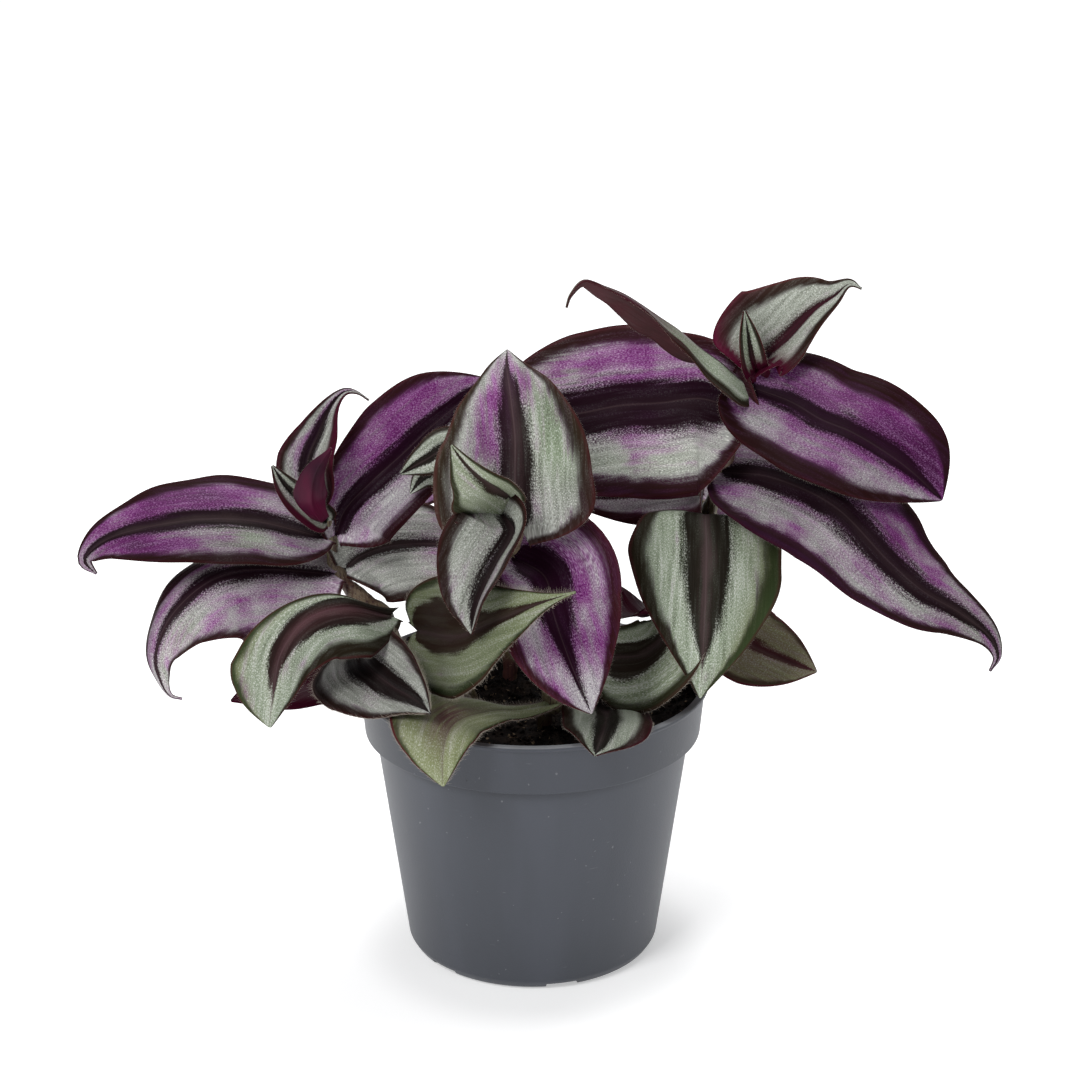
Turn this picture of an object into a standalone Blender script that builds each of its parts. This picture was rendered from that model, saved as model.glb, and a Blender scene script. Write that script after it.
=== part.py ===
"""Potted tradescantia: nine leafy stems rooted in the soil of a grey nursery pot.

Frame: metres, +Z up, origin at the centre of the pot's base on the table, -Y towards the viewer.
The tables below are in millimetres in that frame.
"""

import math
from dataclasses import dataclass

import bmesh
import bpy
import numpy as np

MM = 0.001

# Pot
RIM_R = 45.0
RIM_Z = 72.6
COLLAR_R = 43.0
COLLAR_Z = 59.0
STEP_RISE = 0.6
CORNER = 1.0
BODY_TOP_R = 40.3
BASE_R = 32.3
BASE_FILLET = 2.6
WALL = 1.1
LIP_OUT = 0.9
LIP_DROP = 1.3
FLOOR_LIFT = 2.2
FOOT_IN_R = 27.5
HUB_R = 9.0
POT_STEPS = 48
NOTCH_COUNT = 6
NOTCH_WIDTH = 8.5
NOTCH_HEIGHT = 1.7
NOTCH_DEPTH = 14.0
NOTCH_FIRST_DEG = -76.0
DRAIN_COUNT = 6
DRAIN_R = 3.0
DRAIN_RING_R = 19.0
DRAIN_TURN = 0.37
CUTTER_SIDES = 16
SHARP_DEG = 35.0

# Soil
SOIL_Z = 66.0
SOIL_GAP = 0.3
SOIL_RINGS = 9
SOIL_STEPS = 40
SOIL_LUMP = 0.8
SOIL_FADE = 6.0

# Stems and leaves
STEM_R = 1.9
STEM_TIP_R = 1.2
STEM_RING_STEP = 3.0
FINE_STEPS = 300
SHEATH_SWELL = 1.45
SHEATH_LENGTH = 3.0
ROOT_DEPTH = 12.0
HOLE_GAP = 0.35
LEAF_GAP = 0.38
LEAF_THICKNESS = 0.7
LEAF_STATIONS = 13
LEAF_COLUMNS = 4
TIP_HALF = 0.35
BASE_HALF = 1.3
NECK = 0.03
CLASP_DEG = 28.0
CLASP_SHARE = 0.05
FACE_STATION = 0.4
STEM_COLOUR = (0.12, 0.07, 0.05)

TONES = {
    "purple": (0.2, 0.1, 0.2),
    "silver": (0.24, 0.27, 0.23),
    "wine": (0.09, 0.02, 0.05),
    "olive": (0.13, 0.13, 0.08),
}

# A stem is its root on the soil and the points of its nodes, most of which bear leaves.
STEMS = {
    "left": (
        (-29, -6),
        ((-33, -9, 82), (-37, -14, 95), (-43, -14, 100), (-48, -13, 106), (-50, -12, 115), (-51, -12, 119),
         (-52, -11, 122)),
    ),
    "front": (
        (3, -17),
        ((5, -20, 75), (0, -24, 98), (-4, -30, 117), (-4, -33, 123), (-5, -34, 129), (-6, -35, 134)),
    ),
    "right": (
        (29, 8),
        ((36, 8, 87), (44, 6, 114), (48, 4, 127), (52, 3, 143), (53, 4, 149), (54, 4, 153)),
    ),
    "low_left": ((-35, 3), ((-39, -1, 77), (-44, -8, 85), (-46, -10, 88))),
    "low_middle": ((-16, -8), ((-22, -12, 81), (-27, -14, 92), (-27, -14, 97))),
    "low_right": ((14, -5), ((16, -7, 74), (18, -9, 83), (18, -9, 88))),
    "back_right": ((30, 18), ((37, 18, 80), (42, 22, 98), (44, 25, 112))),
    "back": ((-6, 14), ((-9, 14, 92), (-11, 3, 118), (-11, -4, 128), (-11, -8, 135))),
    "back_left": ((-19, 16), ((-23, 19, 88), (-29, 24, 101), (-32, 27, 110))),
}


@dataclass
class Leaf:
    """A blade of a stem's node. way: the rest of its midrib, in mm. face: where its upper side looks.

    fold lifts both halves about the midrib and arch bends them back down, in degrees. belly is the
    share of the length at which it is widest. rounding is the fullness of its base and full that of its
    sides towards the point. drawn tells how far the point is drawn out. The side cross(up, tangent) is
    wider than the other by the share skew, has its belly further on by slant and its base fuller by blunt.
    ends_stem tells that the blade carries on from the stem's tip, and tone names its plain colour.
    """

    stem: str
    node: int
    width: float
    face: tuple
    way: tuple
    fold: float = 12.0
    arch: float = 28.0
    twist: float = 0.0
    belly: float = 0.36
    rounding: float = 2.4
    full: float = 2.1
    drawn: float = 0.0
    skew: float = 0.0
    slant: float = 0.0
    blunt: float = 0.0
    ends_stem: bool = False
    tone: str = "purple"


LEAVES = {
    "left_outer_leaf": Leaf(
        "left", 4, 26, (0, -0.62, 0.78),
        ((-67, -16, 120), (-80, -20, 122), (-94, -24, 121), (-104, -25, 118), (-109, -26, 114),
         (-106, -27, 110.5)),
        belly=0.38, full=2.4, drawn=0.15,
    ),
    "left_trailing_leaf": Leaf(
        "left", 3, 31, (-0.2, -0.72, 0.66),
        ((-65, -17, 108), (-75, -21, 108), (-82, -25, 105), (-88, -29, 99), (-91, -31, 91), (-90, -32, 85),
         (-88, -32, 81), (-85, -32, 80)),
        fold=-12, arch=36, belly=0.38, full=2.6, drawn=1.3,
    ),
    "left_lower_leaf": Leaf(
        "left", 1, 26, (-0.15, -0.8, 0.57),
        ((-45, -27.5, 102), (-54, -33, 101), (-60, -37, 94), (-62, -39, 84), (-63, -40, 76)),
        belly=0.5, rounding=1.05, skew=0.08, slant=-0.2, tone="silver",
    ),
    "left_back_leaf": Leaf(
        "left", 4, 32, (0, -0.95, 0.3),
        ((-45, -9, 119), (-39, -5, 128), (-32, -2, 133), (-25, 1, 139), (-18, 5, 144), (-11, 9, 149)),
        fold=8, arch=20, belly=0.45, rounding=2.4, full=2.8, skew=-0.1, slant=0.06, blunt=-0.9,
    ),
    "left_inner_leaf": Leaf(
        "left", 3, 29, (0, -0.75, 0.66),
        ((-41, -3, 110), (-31, 0, 109), (-21, 3, 108), (-10, 5, 105)),
        fold=5,
    ),
    "left_young_leaf": Leaf(
        "left", 6, 16, (-0.47, -0.79, 0.38),
        ((-55, -9, 132), (-52, -6, 140), (-49, -4, 146), (-46, -3, 149), (-43, -3, 149), (-40, -3, 147)),
        fold=30, arch=15, belly=0.3, drawn=0.9, skew=-0.15, ends_stem=True, tone="silver",
    ),
    "left_spathe_leaf": Leaf(
        "left", 6, 7.5, (-0.1, 1.0, 0.2),
        ((-49, -16.5, 123), (-51, -21, 128), (-50.5, -22, 133), (-48, -21.5, 137)),
        fold=20, arch=10, tone="wine",
    ),
    "left_bud_leaf": Leaf(
        "left", 5, 10, (0.3, -0.9, 0.3),
        ((-59, -16.5, 127), (-63, -15, 134)),
        fold=25, arch=10, skew=0.35, tone="silver",
    ),
    "front_upright_leaf": Leaf(
        "front", 3, 38, (0, -0.93, 0.36),
        ((-4, -27, 133), (-4, -26, 144), (-5, -22, 153), (-6, -14, 158), (-6, -8, 161)),
        fold=8, belly=0.24, full=2.0, drawn=0.08, skew=-0.06,
    ),
    "front_small_leaf": Leaf(
        "front", 5, 18, (-0.37, -0.91, 0.0),
        ((-12, -46, 138), (-16, -47, 142), (-20, -45, 146.5)),
        fold=28, arch=15, skew=0.25, blunt=-0.8, tone="silver",
    ),
    "front_folded_leaf": Leaf(
        "front", 4, 30, (-0.7, -0.7, 0.1),
        ((-9, -43.5, 121.5), (-12, -48, 115), (-13, -50, 109), (-14, -50, 104)),
        fold=42, arch=10, tone="silver",
    ),
    "front_hanging_leaf": Leaf(
        "front", 2, 32, (0.32, -0.85, 0.4),
        ((3, -36, 113), (5, -39, 105), (8, -43, 97), (11, -46, 90), (14, -48, 83)),
        fold=18, arch=20, skew=0.1, slant=-0.1,
    ),
    "middle_reaching_leaf": Leaf(
        "low_middle", 1, 30, (-0.1, -0.9, 0.45),
        ((-18, -36, 98), (-10, -46, 105), (0, -53, 112), (10, -57, 117)),
        arch=25, drawn=0.6, tone="silver",
    ),
    "back_claw_upper": Leaf(
        "back", 3, 11, (0, -0.9, 0.4),
        ((-20, -12, 137.5), (-26, -12, 134.5), (-32, -12, 131)),
        tone="silver",
    ),
    "back_claw_lower": Leaf(
        "back", 2, 9, (0, -0.9, 0.4),
        ((-20, -6, 130), (-26, -7, 129), (-30, -7.5, 124.5)),
        tone="silver",
    ),
    "right_crown_leaf": Leaf(
        "right", 5, 26, (-0.37, -0.71, 0.6),
        ((58, 5, 156), (63, 4, 161), (69, 3, 168), (74, 2, 172), (77, 1, 175), (80, 1, 174)),
        fold=30, arch=15, belly=0.3, drawn=0.5, skew=0.24, blunt=0.1, tone="silver",
    ),
    "right_bud_leaf": Leaf(
        "right", 5, 11, (0.1, -1, 0),
        ((52, 0, 160), (51, 0, 168)),
        fold=35, arch=10, tone="silver",
    ),
    "right_spear_leaf": Leaf(
        "right", 4, 17, (0.5, 0.3, 0.8),
        ((46, -5, 157), (40, -8, 162), (35, -11, 167), (30, -14, 171), (25, -17, 175), (21, -20, 178),
         (17, -22, 180), (12, -24, 182), (9, -25, 179), (8, -26, 176)),
        fold=-30, arch=10, drawn=0.3, twist=70, tone="silver",
    ),
    "right_broad_leaf": Leaf(
        "right", 3, 45, (0, -0.93, 0.37),
        ((42, 9, 144), (32, 12, 142), (22, 13, 141), (12, 13, 139), (-1, 11, 138), (-12, 9, 136)),
        fold=8, arch=25, belly=0.38, rounding=2.0, full=2.8, skew=0.08, slant=-0.1, blunt=0.6,
    ),
    "right_under_leaf": Leaf(
        "right", 2, 20, (0, -0.6, 0.8),
        ((41, 12, 122), (32, 13, 119.5), (20, 15, 117), (7, 16, 116)),
        tone="wine",
    ),
    "right_side_leaf": Leaf(
        "right", 4, 31.5, (0.05, -0.85, 0.5),
        ((63, -4, 147), (70, -9, 144), (77, -13, 142), (84, -16, 139), (91, -19, 135.5), (98.5, -22, 130)),
        belly=0.45, rounding=2.1, full=3.2,
    ),
    "right_long_leaf": Leaf(
        "right", 2, 34, (-0.1, -0.7, 0.7),
        ((59, -6, 128), (73, -19, 125), (85, -30, 115), (93, -35, 109), (101, -38, 105), (108, -40, 100),
         (110.5, -41, 95), (109, -41, 91)),
        fold=-8, arch=30, drawn=0.3, skew=0.08,
    ),
    "right_hanging_leaf": Leaf(
        "right", 1, 39, (0, -0.9, 0.45),
        ((43, -5, 118), (43, -11, 112), (42.5, -18, 103), (42, -23, 95), (41.5, -27, 87), (41, -29, 79)),
        full=1.8, drawn=0.1, slant=0.05, tone="silver",
    ),
    "right_low_leaf": Leaf(
        "back_right", 0, 21.5, (0.05, -0.8, 0.57),
        ((52, 8, 81), (58, 4, 79), (66, -1, 77), (72, -5, 76)),
        fold=18, skew=-0.08, blunt=0.7, tone="olive",
    ),
    "low_cupped_leaf": Leaf(
        "low_left", 1, 25, (-0.49, -0.37, 0.79),
        ((-41, -24, 86), (-37, -31, 85.5), (-33, -37, 85), (-28, -44, 85), (-24, -50, 84)),
        fold=18, arch=15, rounding=2.0, skew=-0.15, tone="silver",
    ),
    "low_dark_leaf": Leaf(
        "low_left", 0, 19, (0, -0.5, 0.8),
        ((-50, -5, 76.5), (-62, -12, 75), (-75, -18, 73.5)),
        fold=15, tone="wine",
    ),
    "rim_leaf": Leaf(
        "front", 0, 27, (0, -0.25, 0.97),
        ((-4, -30, 76), (-10, -35, 78), (-17, -42, 79), (-20, -49, 78.5), (-21, -53, 74), (-21, -54, 67)),
        fold=8, belly=0.62, rounding=1.3, full=1.5, skew=-0.48, slant=0.08, tone="olive",
    ),
    "low_front_leaf": Leaf(
        "low_right", 0, 26, (0, -0.5, 0.85),
        ((18, -22, 72.5), (18, -33, 74.8), (17, -42, 75.3), (15, -50, 73)),
        arch=32, belly=0.58, rounding=1.2, skew=-0.12, tone="silver",
    ),
    "low_turned_leaf": Leaf(
        "low_right", 1, 25, (-0.55, -0.6, 0.55),
        ((26, -13, 85), (30, -16, 87), (34, -18, 89), (38, -19, 91)),
        fold=10, arch=12, belly=0.5, full=3.2, skew=-0.19, tone="silver",
    ),
    "middle_dark_leaf": Leaf(
        "right", 0, 13, (0.1, -0.3, 0.95),
        ((28, 14, 84), (25, 24, 83), (23, 33, 85)),
        tone="wine",
    ),
    "back_low_leaf": Leaf(
        "back", 0, 26, (-0.1, 0.5, 0.85),
        ((-7, 25, 94), (-5, 37, 97), (-4, 48, 91)),
        tone="olive",
    ),
    "back_high_leaf": Leaf(
        "back", 1, 28, (0.1, 0.45, 0.88),
        ((-6, 17, 122), (0, 32, 124), (6, 44, 119)),
        tone="silver",
    ),
    "back_right_leaf": Leaf(
        "back_right", 1, 26, (0.3, 0.3, 0.9),
        ((54, 29, 105), (64, 38, 110), (72, 44, 107)),
    ),
    "back_right_upper_leaf": Leaf(
        "back_right", 2, 26, (-0.1, 0.5, 0.85),
        ((38, 36, 120), (30, 46, 124), (22, 54, 120)),
    ),
    "back_left_leaf": Leaf(
        "back_left", 1, 27, (-0.3, 0.3, 0.9),
        ((-44, 30, 106), (-57, 36, 108), (-68, 40, 102)),
        tone="silver",
    ),
    "back_left_upper_leaf": Leaf(
        "back_left", 2, 26, (0.1, 0.5, 0.85),
        ((-32, 38, 116), (-32, 48, 120), (-34, 57, 114)),
    ),
    "back_left_low_leaf": Leaf(
        "back_left", 0, 26, (-0.2, 0.4, 0.9),
        ((-30, 32, 92), (-37, 43, 94), (-43, 53, 88)),
    ),
}


def smooth_path(points, shares):
    """Positions and unit tangents at shares of the length of a Catmull-Rom curve through the points."""
    pts = np.array(points, float)
    ends = np.vstack([2 * pts[0] - pts[1], pts, 2 * pts[-1] - pts[-2]])
    fine = []
    u = np.linspace(0, 1, 24, endpoint=False)[:, None]
    for a, b, c, d in zip(ends, ends[1:], ends[2:], ends[3:]):
        square = 2 * a - 5 * b + 4 * c - d
        cube = 3 * b - a - 3 * c + d
        fine.append(0.5 * (2 * b + (c - a) * u + square * u**2 + cube * u**3))
    fine = np.vstack([*fine, pts[-1:]])
    run = np.r_[0, np.cumsum(np.linalg.norm(np.diff(fine, axis=0), axis=1))]
    slopes = np.gradient(fine, run, axis=0)
    where = np.asarray(shares) * run[-1]
    spots = np.stack([np.interp(where, run, fine[:, i]) for i in range(3)], 1)
    tangents = np.stack([np.interp(where, run, slopes[:, i]) for i in range(3)], 1)
    return spots, tangents / np.linalg.norm(tangents, axis=1)[:, None]


def stations(count):
    """Shares of a length, closer together towards its two ends."""
    even = np.linspace(0, 1, count)
    return 0.5 * even + 0.25 * (1 - np.cos(math.pi * even))


def unit(v):
    v = np.asarray(v, float)
    return v / np.linalg.norm(v)


def turned(v, axis, degrees):
    """v turned about a unit axis."""
    a = math.radians(degrees)
    return v * math.cos(a) + np.cross(axis, v) * math.sin(a) + axis * (axis @ v) * (1 - math.cos(a))


def blade_normals(tangents, shares, face, twist):
    """The blade's upward direction at each station, carried along the midrib without spin, then twisted."""
    count = len(tangents)
    middle = int(np.abs(shares - FACE_STATION).argmin())
    normals = np.zeros((count, 3))
    normals[middle] = unit(face - (face @ tangents[middle]) * tangents[middle])
    for order in (range(middle + 1, count), range(middle - 1, -1, -1)):
        last = normals[middle]
        for i in order:
            last = unit(last - (last @ tangents[i]) * tangents[i])
            normals[i] = last
    return np.array([turned(n, t, twist * (s - FACE_STATION)) for n, t, s in zip(normals, tangents, shares)])


def half_width(share, leaf, side):
    """Half the blade's width at a share of its length: a full base, a belly and a point."""
    belly = leaf.belly + leaf.slant * side
    rounding = leaf.rounding + leaf.blunt * side
    along = max(share - NECK, 0) / (1 - NECK)
    if along < belly:
        outline = (1 - (1 - along / belly) ** rounding) ** (1 / rounding)
    else:
        past = (along - belly) / (1 - belly)
        outline = (1 - past**leaf.full) * (1 - past) ** leaf.drawn
    grown = leaf.width / 2 * (1 + leaf.skew * side) * outline
    return grown + BASE_HALF * (1 - share) ** 8 + TIP_HALF * share**12


def blade_sheet(leaf, base, shares, columns):
    """The blade's middle surface: points and unit normals, as arrays of stations by columns."""
    centres, tangents = smooth_path([base, *leaf.way], shares)
    ups = blade_normals(tangents, shares, unit(leaf.face), leaf.twist)
    sides = np.cross(ups, tangents)
    across = np.linspace(-1, 1, columns)
    points = np.zeros((len(shares), columns, 3))
    normals = np.zeros_like(points)
    for i, share in enumerate(shares):
        fold = math.radians(leaf.fold + CLASP_DEG * math.exp(-share / CLASP_SHARE))
        bend = math.radians(leaf.arch * math.sin(math.pi * share) ** 0.5 + 0.01)
        for j, s in enumerate(across):
            slope = fold - bend * abs(s)
            half = half_width(share, leaf, np.sign(s))
            out = half * (math.sin(fold) - math.sin(slope)) / bend * np.sign(s)
            lift = half * (math.cos(slope) - math.cos(fold)) / bend
            points[i, j] = centres[i] + out * sides[i] + lift * ups[i]
            normals[i, j] = math.cos(slope) * ups[i] - math.sin(slope) * np.sign(s) * sides[i]
    return points, normals


def skin(points, normals, thickness):
    """Vertices and triangles of a closed blade, split alike on both faces."""
    rows, columns = points.shape[:2]
    half = normals * thickness / 2
    vertices = np.vstack([(points + half).reshape(-1, 3), (points - half).reshape(-1, 3)])
    under = rows * columns
    faces = []
    for i in range(rows - 1):
        for j in range(columns - 1):
            a, b = i * columns + j, i * columns + j + 1
            c, d = b + columns, a + columns
            pairs = ((a, b, c), (a, c, d)) if j < columns // 2 else ((a, b, d), (b, c, d))
            for p, q, r in pairs:
                faces.append((p, q, r))
                faces.append((r + under, q + under, p + under))
    edge = [i * columns for i in range(rows)]
    edge += [(rows - 1) * columns + j for j in range(1, columns)]
    edge += [i * columns + columns - 1 for i in range(rows - 2, -1, -1)]
    edge += list(range(columns - 2, 0, -1))
    for a, b in zip(edge, edge[1:] + edge[:1]):
        faces += [(a, b, b + under), (a, b + under, a + under)]
    return vertices, faces


def plain_material(name, colour, roughness):
    material = bpy.data.materials.new(name)
    material.use_nodes = True
    shader = material.node_tree.nodes["Principled BSDF"]
    shader.inputs["Base Color"].default_value = (*colour, 1)
    shader.inputs["Roughness"].default_value = roughness
    shader.inputs["Metallic"].default_value = 0
    return material


def mesh_object(name, vertices, faces, material):
    """A smooth-shaded object from points in millimetres."""
    mesh = bpy.data.meshes.new(name)
    mesh.from_pydata([tuple(v) for v in np.asarray(vertices) * MM], [], faces)
    clean = bmesh.new()
    clean.from_mesh(mesh)
    bmesh.ops.recalc_face_normals(clean, faces=clean.faces)
    clean.to_mesh(mesh)
    clean.free()
    mesh.shade_smooth()
    mesh.materials.append(material)
    made = bpy.data.objects.new(name, mesh)
    bpy.context.scene.collection.objects.link(made)
    return made


def body_radius(z):
    return BASE_R + (BODY_TOP_R - BASE_R) * z / COLLAR_Z


def pot_profile():
    """The pot's section from the pad under its floor out, up the wall, over the lip and down inside."""
    fillet = [
        (BASE_R - BASE_FILLET * (1 - math.sin(a)), BASE_FILLET * (1 - math.cos(a)))
        for a in (0, math.pi / 4, math.pi / 2)
    ]
    outside = [
        (FOOT_IN_R, FLOOR_LIFT),
        (FOOT_IN_R + 0.4, 0),
        *fillet,
        (body_radius(COLLAR_Z), COLLAR_Z),
        (COLLAR_R, COLLAR_Z + STEP_RISE),
        (RIM_R - LIP_OUT, RIM_Z - LIP_DROP),
        (RIM_R, RIM_Z - LIP_DROP + 0.4),
        (RIM_R, RIM_Z),
    ]
    inside = [
        (RIM_R - LIP_OUT - WALL, RIM_Z),
        (COLLAR_R - WALL, COLLAR_Z + 3 * STEP_RISE),
        (BODY_TOP_R - WALL, COLLAR_Z + 2 * STEP_RISE),
        (BASE_R - WALL, FLOOR_LIFT + WALL + CORNER),
        (BASE_R - WALL - CORNER, FLOOR_LIFT + WALL),
    ]
    pad = [(0.0, 0.0), (HUB_R - 0.5, 0.0), (HUB_R, FLOOR_LIFT)]
    return [*pad, *outside, *inside, (0.0, FLOOR_LIFT + WALL)]


def lathe(profile, steps):
    """Vertices and faces of a solid turned from a section that starts and ends on the axis."""
    turns = [2 * math.pi * k / steps for k in range(steps)]
    vertices, faces = [], []
    rings = []
    for r, z in profile:
        if r == 0:
            rings.append([len(vertices)])
            vertices.append((0, 0, z))
            continue
        rings.append(list(range(len(vertices), len(vertices) + steps)))
        vertices += [(r * math.cos(turn), r * math.sin(turn), z) for turn in turns]
    for low, high in zip(rings, rings[1:]):
        for k in range(steps):
            m = (k + 1) % steps
            if len(low) == 1:
                faces.append((low[0], high[k], high[m]))
            elif len(high) == 1:
                faces.append((low[k], high[0], low[m]))
            else:
                faces.append((low[k], high[k], high[m], low[m]))
    return vertices, faces


def cut(target, cutters, name):
    """Takes the cutters out of the target, applies the cut and removes them."""
    for k, cutter in enumerate(cutters):
        cutter.hide_render = True
        cutter.display_type = "WIRE"
        modifier = target.modifiers.new(f"{name}_{k}", "BOOLEAN")
        modifier.operation = "DIFFERENCE"
        modifier.solver = "EXACT"
        modifier.object = cutter
    bpy.context.view_layer.update()
    graph = bpy.context.evaluated_depsgraph_get()
    mesh = bpy.data.meshes.new_from_object(target.evaluated_get(graph))
    target.modifiers.clear()
    target.data = mesh
    for cutter in cutters:
        bpy.data.objects.remove(cutter)


def box_cutter(name, centre, size, turn_deg):
    mesh = bpy.data.meshes.new(name)
    shape = bmesh.new()
    bmesh.ops.create_cube(shape, size=1)
    bmesh.ops.scale(shape, vec=[s * MM for s in size], verts=shape.verts)
    shape.to_mesh(mesh)
    shape.free()
    made = bpy.data.objects.new(name, mesh)
    made.location = [c * MM for c in centre]
    made.rotation_euler[2] = math.radians(turn_deg)
    bpy.context.scene.collection.objects.link(made)
    return made


def rod_cutter(name, centre, radius, height):
    mesh = bpy.data.meshes.new(name)
    shape = bmesh.new()
    wide = radius * MM
    bmesh.ops.create_cone(
        shape, cap_ends=True, segments=CUTTER_SIDES, radius1=wide, radius2=wide, depth=height * MM
    )
    shape.to_mesh(mesh)
    shape.free()
    made = bpy.data.objects.new(name, mesh)
    made.location = [c * MM for c in centre]
    bpy.context.scene.collection.objects.link(made)
    return made


def build_pot():
    vertices, faces = lathe(pot_profile(), POT_STEPS)
    pot = mesh_object("pot", vertices, faces, plain_material("grey_plastic", (0.12, 0.13, 0.15), 0.5))
    notches = [
        box_cutter(
            f"notch_{k}",
            (BASE_R * math.cos(math.radians(turn)), BASE_R * math.sin(math.radians(turn)), 0),
            (NOTCH_DEPTH, NOTCH_WIDTH, 2 * NOTCH_HEIGHT),
            turn,
        )
        for k in range(NOTCH_COUNT)
        for turn in [NOTCH_FIRST_DEG + k * 360 / NOTCH_COUNT]
    ]
    drains = [
        rod_cutter(
            f"drain_{k}",
            (DRAIN_RING_R * math.cos(turn), DRAIN_RING_R * math.sin(turn), FLOOR_LIFT),
            DRAIN_R,
            4 * FLOOR_LIFT,
        )
        for k in range(DRAIN_COUNT)
        for turn in [2 * math.pi * (k + DRAIN_TURN) / DRAIN_COUNT]
    ]
    cut(pot, notches + drains, "cut")
    pot.data.set_sharp_from_angle(angle=math.radians(SHARP_DEG))
    return pot


def soil_height(x, y):
    """Gentle lumps, by formula."""
    broad = math.sin(0.31 * x + 0.7) * math.cos(0.27 * y)
    narrow = math.sin(0.83 * x - 0.5 * y) * math.cos(0.71 * y + 1.1)
    return SOIL_LUMP * (broad + 0.5 * narrow)


def soil_radius(z):
    """The inside of the pot's collar at a height, less the gap."""
    share = (z - COLLAR_Z - STEP_RISE) / (RIM_Z - COLLAR_Z - STEP_RISE)
    return COLLAR_R + (RIM_R - LIP_OUT - COLLAR_R) * share - WALL - SOIL_GAP


def build_soil():
    floor = FLOOR_LIFT + WALL + SOIL_GAP
    wall = [
        (0, floor),
        (BASE_R - WALL - CORNER - SOIL_GAP, floor),
        (BASE_R - WALL - SOIL_GAP, floor + CORNER),
        (BODY_TOP_R - WALL - SOIL_GAP, COLLAR_Z + 3 * STEP_RISE),
        (COLLAR_R - WALL - SOIL_GAP, COLLAR_Z + 4 * STEP_RISE),
    ]
    edge = soil_radius(SOIL_Z)
    top = [(edge * (SOIL_RINGS - k) / SOIL_RINGS, SOIL_Z) for k in range(SOIL_RINGS)] + [(0, SOIL_Z)]
    vertices, faces = lathe(wall + top, SOIL_STEPS)
    lifted = []
    for x, y, z in vertices:
        if z == SOIL_Z:
            fade = min(1.0, (edge - math.hypot(x, y)) / SOIL_FADE)
            z += soil_height(x, y) * fade
        lifted.append((x, y, z))
    soil = mesh_object("soil", lifted, faces, plain_material("peat_soil", (0.02, 0.013, 0.009), 0.95))
    holes = [
        rod_cutter(f"hole_{name}", (*root, SOIL_Z), STEM_R + HOLE_GAP, 2 * (ROOT_DEPTH + 1))
        for name, (root, _) in STEMS.items()
    ]
    cut(soil, holes, "hole")
    return soil


def stem_points(name):
    """The stem's centre line: straight up out of the soil, then through its nodes."""
    (x, y), nodes = STEMS[name]
    return [(x, y, SOIL_Z - ROOT_DEPTH), (x, y, SOIL_Z - 5), (x, y, SOIL_Z + 2), (x, y, SOIL_Z + 5), *nodes]


def stem_radius(share, near):
    """The stem's radius at a share of its length, near being the distance to the closest node."""
    plain = STEM_R + (STEM_TIP_R - STEM_R) * share**2
    return plain * (1 + (SHEATH_SWELL - 1) * math.exp(-((near / SHEATH_LENGTH) ** 2)))


def stem_path(name, shares):
    """Points, tangents and radii at shares of a stem's length."""
    spots, tangents = smooth_path(stem_points(name), shares)
    nodes = np.array(STEMS[name][1], float)
    nearest = [np.linalg.norm(nodes - spot, axis=1).min() for spot in spots]
    return spots, tangents, [stem_radius(share, near) for share, near in zip(shares, nearest)]


def ring_shares(name):
    """Shares of a stem's length for its rings: one at each node, and even steps in between."""
    points = stem_points(name)
    length = sum(math.dist(a, b) for a, b in zip(points, points[1:]))
    fine = np.linspace(0, 1, FINE_STEPS)
    spots = smooth_path(points, fine)[0]
    marks = [0.0] + [fine[np.linalg.norm(spots - node, axis=1).argmin()] for node in STEMS[name][1]]
    shares = [0.0]
    for low, high in zip(marks, marks[1:]):
        steps = max(1, round((high - low) * length / STEM_RING_STEP))
        shares += [low + (high - low) * k / steps for k in range(1, steps + 1)]
    return shares


def build_stem(name):
    """A tube that swells into a sheath at each node and narrows to its tip."""
    spots, _, radii = stem_path(name, ring_shares(name))
    curve = bpy.data.curves.new(f"stem_{name}", "CURVE")
    curve.dimensions = "3D"
    curve.bevel_depth = MM
    curve.bevel_resolution = 1
    curve.use_fill_caps = True
    line = curve.splines.new("POLY")
    line.points.add(len(spots) - 1)
    for point, spot, radius in zip(line.points, spots, radii):
        point.co = (*(spot * MM), 1)
        point.radius = radius
    curve.materials.append(plain_material(f"stem_{name}", STEM_COLOUR, 0.5))
    made = bpy.data.objects.new(f"stem_{name}", curve)
    bpy.context.scene.collection.objects.link(made)
    return made


def leaf_base(leaf):
    """Where a blade starts: beside its node, clear of the sheath, or past the end of the stem."""
    nodes = STEMS[leaf.stem][1]
    node = np.array(nodes[leaf.node], float)
    spots, tangents, radii = stem_path(leaf.stem, np.linspace(0, 1, FINE_STEPS))
    near = np.linalg.norm(spots - node, axis=1).argmin()
    along = tangents[near]
    if leaf.ends_stem:
        return node + along * (LEAF_THICKNESS / 2 + 2 * LEAF_GAP)
    toward = np.array(leaf.way[0], float) - node
    away = unit(toward - (toward @ along) * along)
    return node + away * (radii[near] + LEAF_THICKNESS / 2 + LEAF_GAP)


def build_leaf(name, leaf):
    points, normals = blade_sheet(leaf, leaf_base(leaf), stations(LEAF_STATIONS), LEAF_COLUMNS + 1)
    vertices, faces = skin(points, normals, LEAF_THICKNESS)
    return mesh_object(name, vertices, faces, plain_material(name, TONES[leaf.tone], 0.4))


def main():
    for old in list(bpy.data.objects):
        bpy.data.objects.remove(old)
    build_pot()
    build_soil()
    for name in STEMS:
        build_stem(name)
    for name, leaf in LEAVES.items():
        build_leaf(name, leaf)


main()
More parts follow.
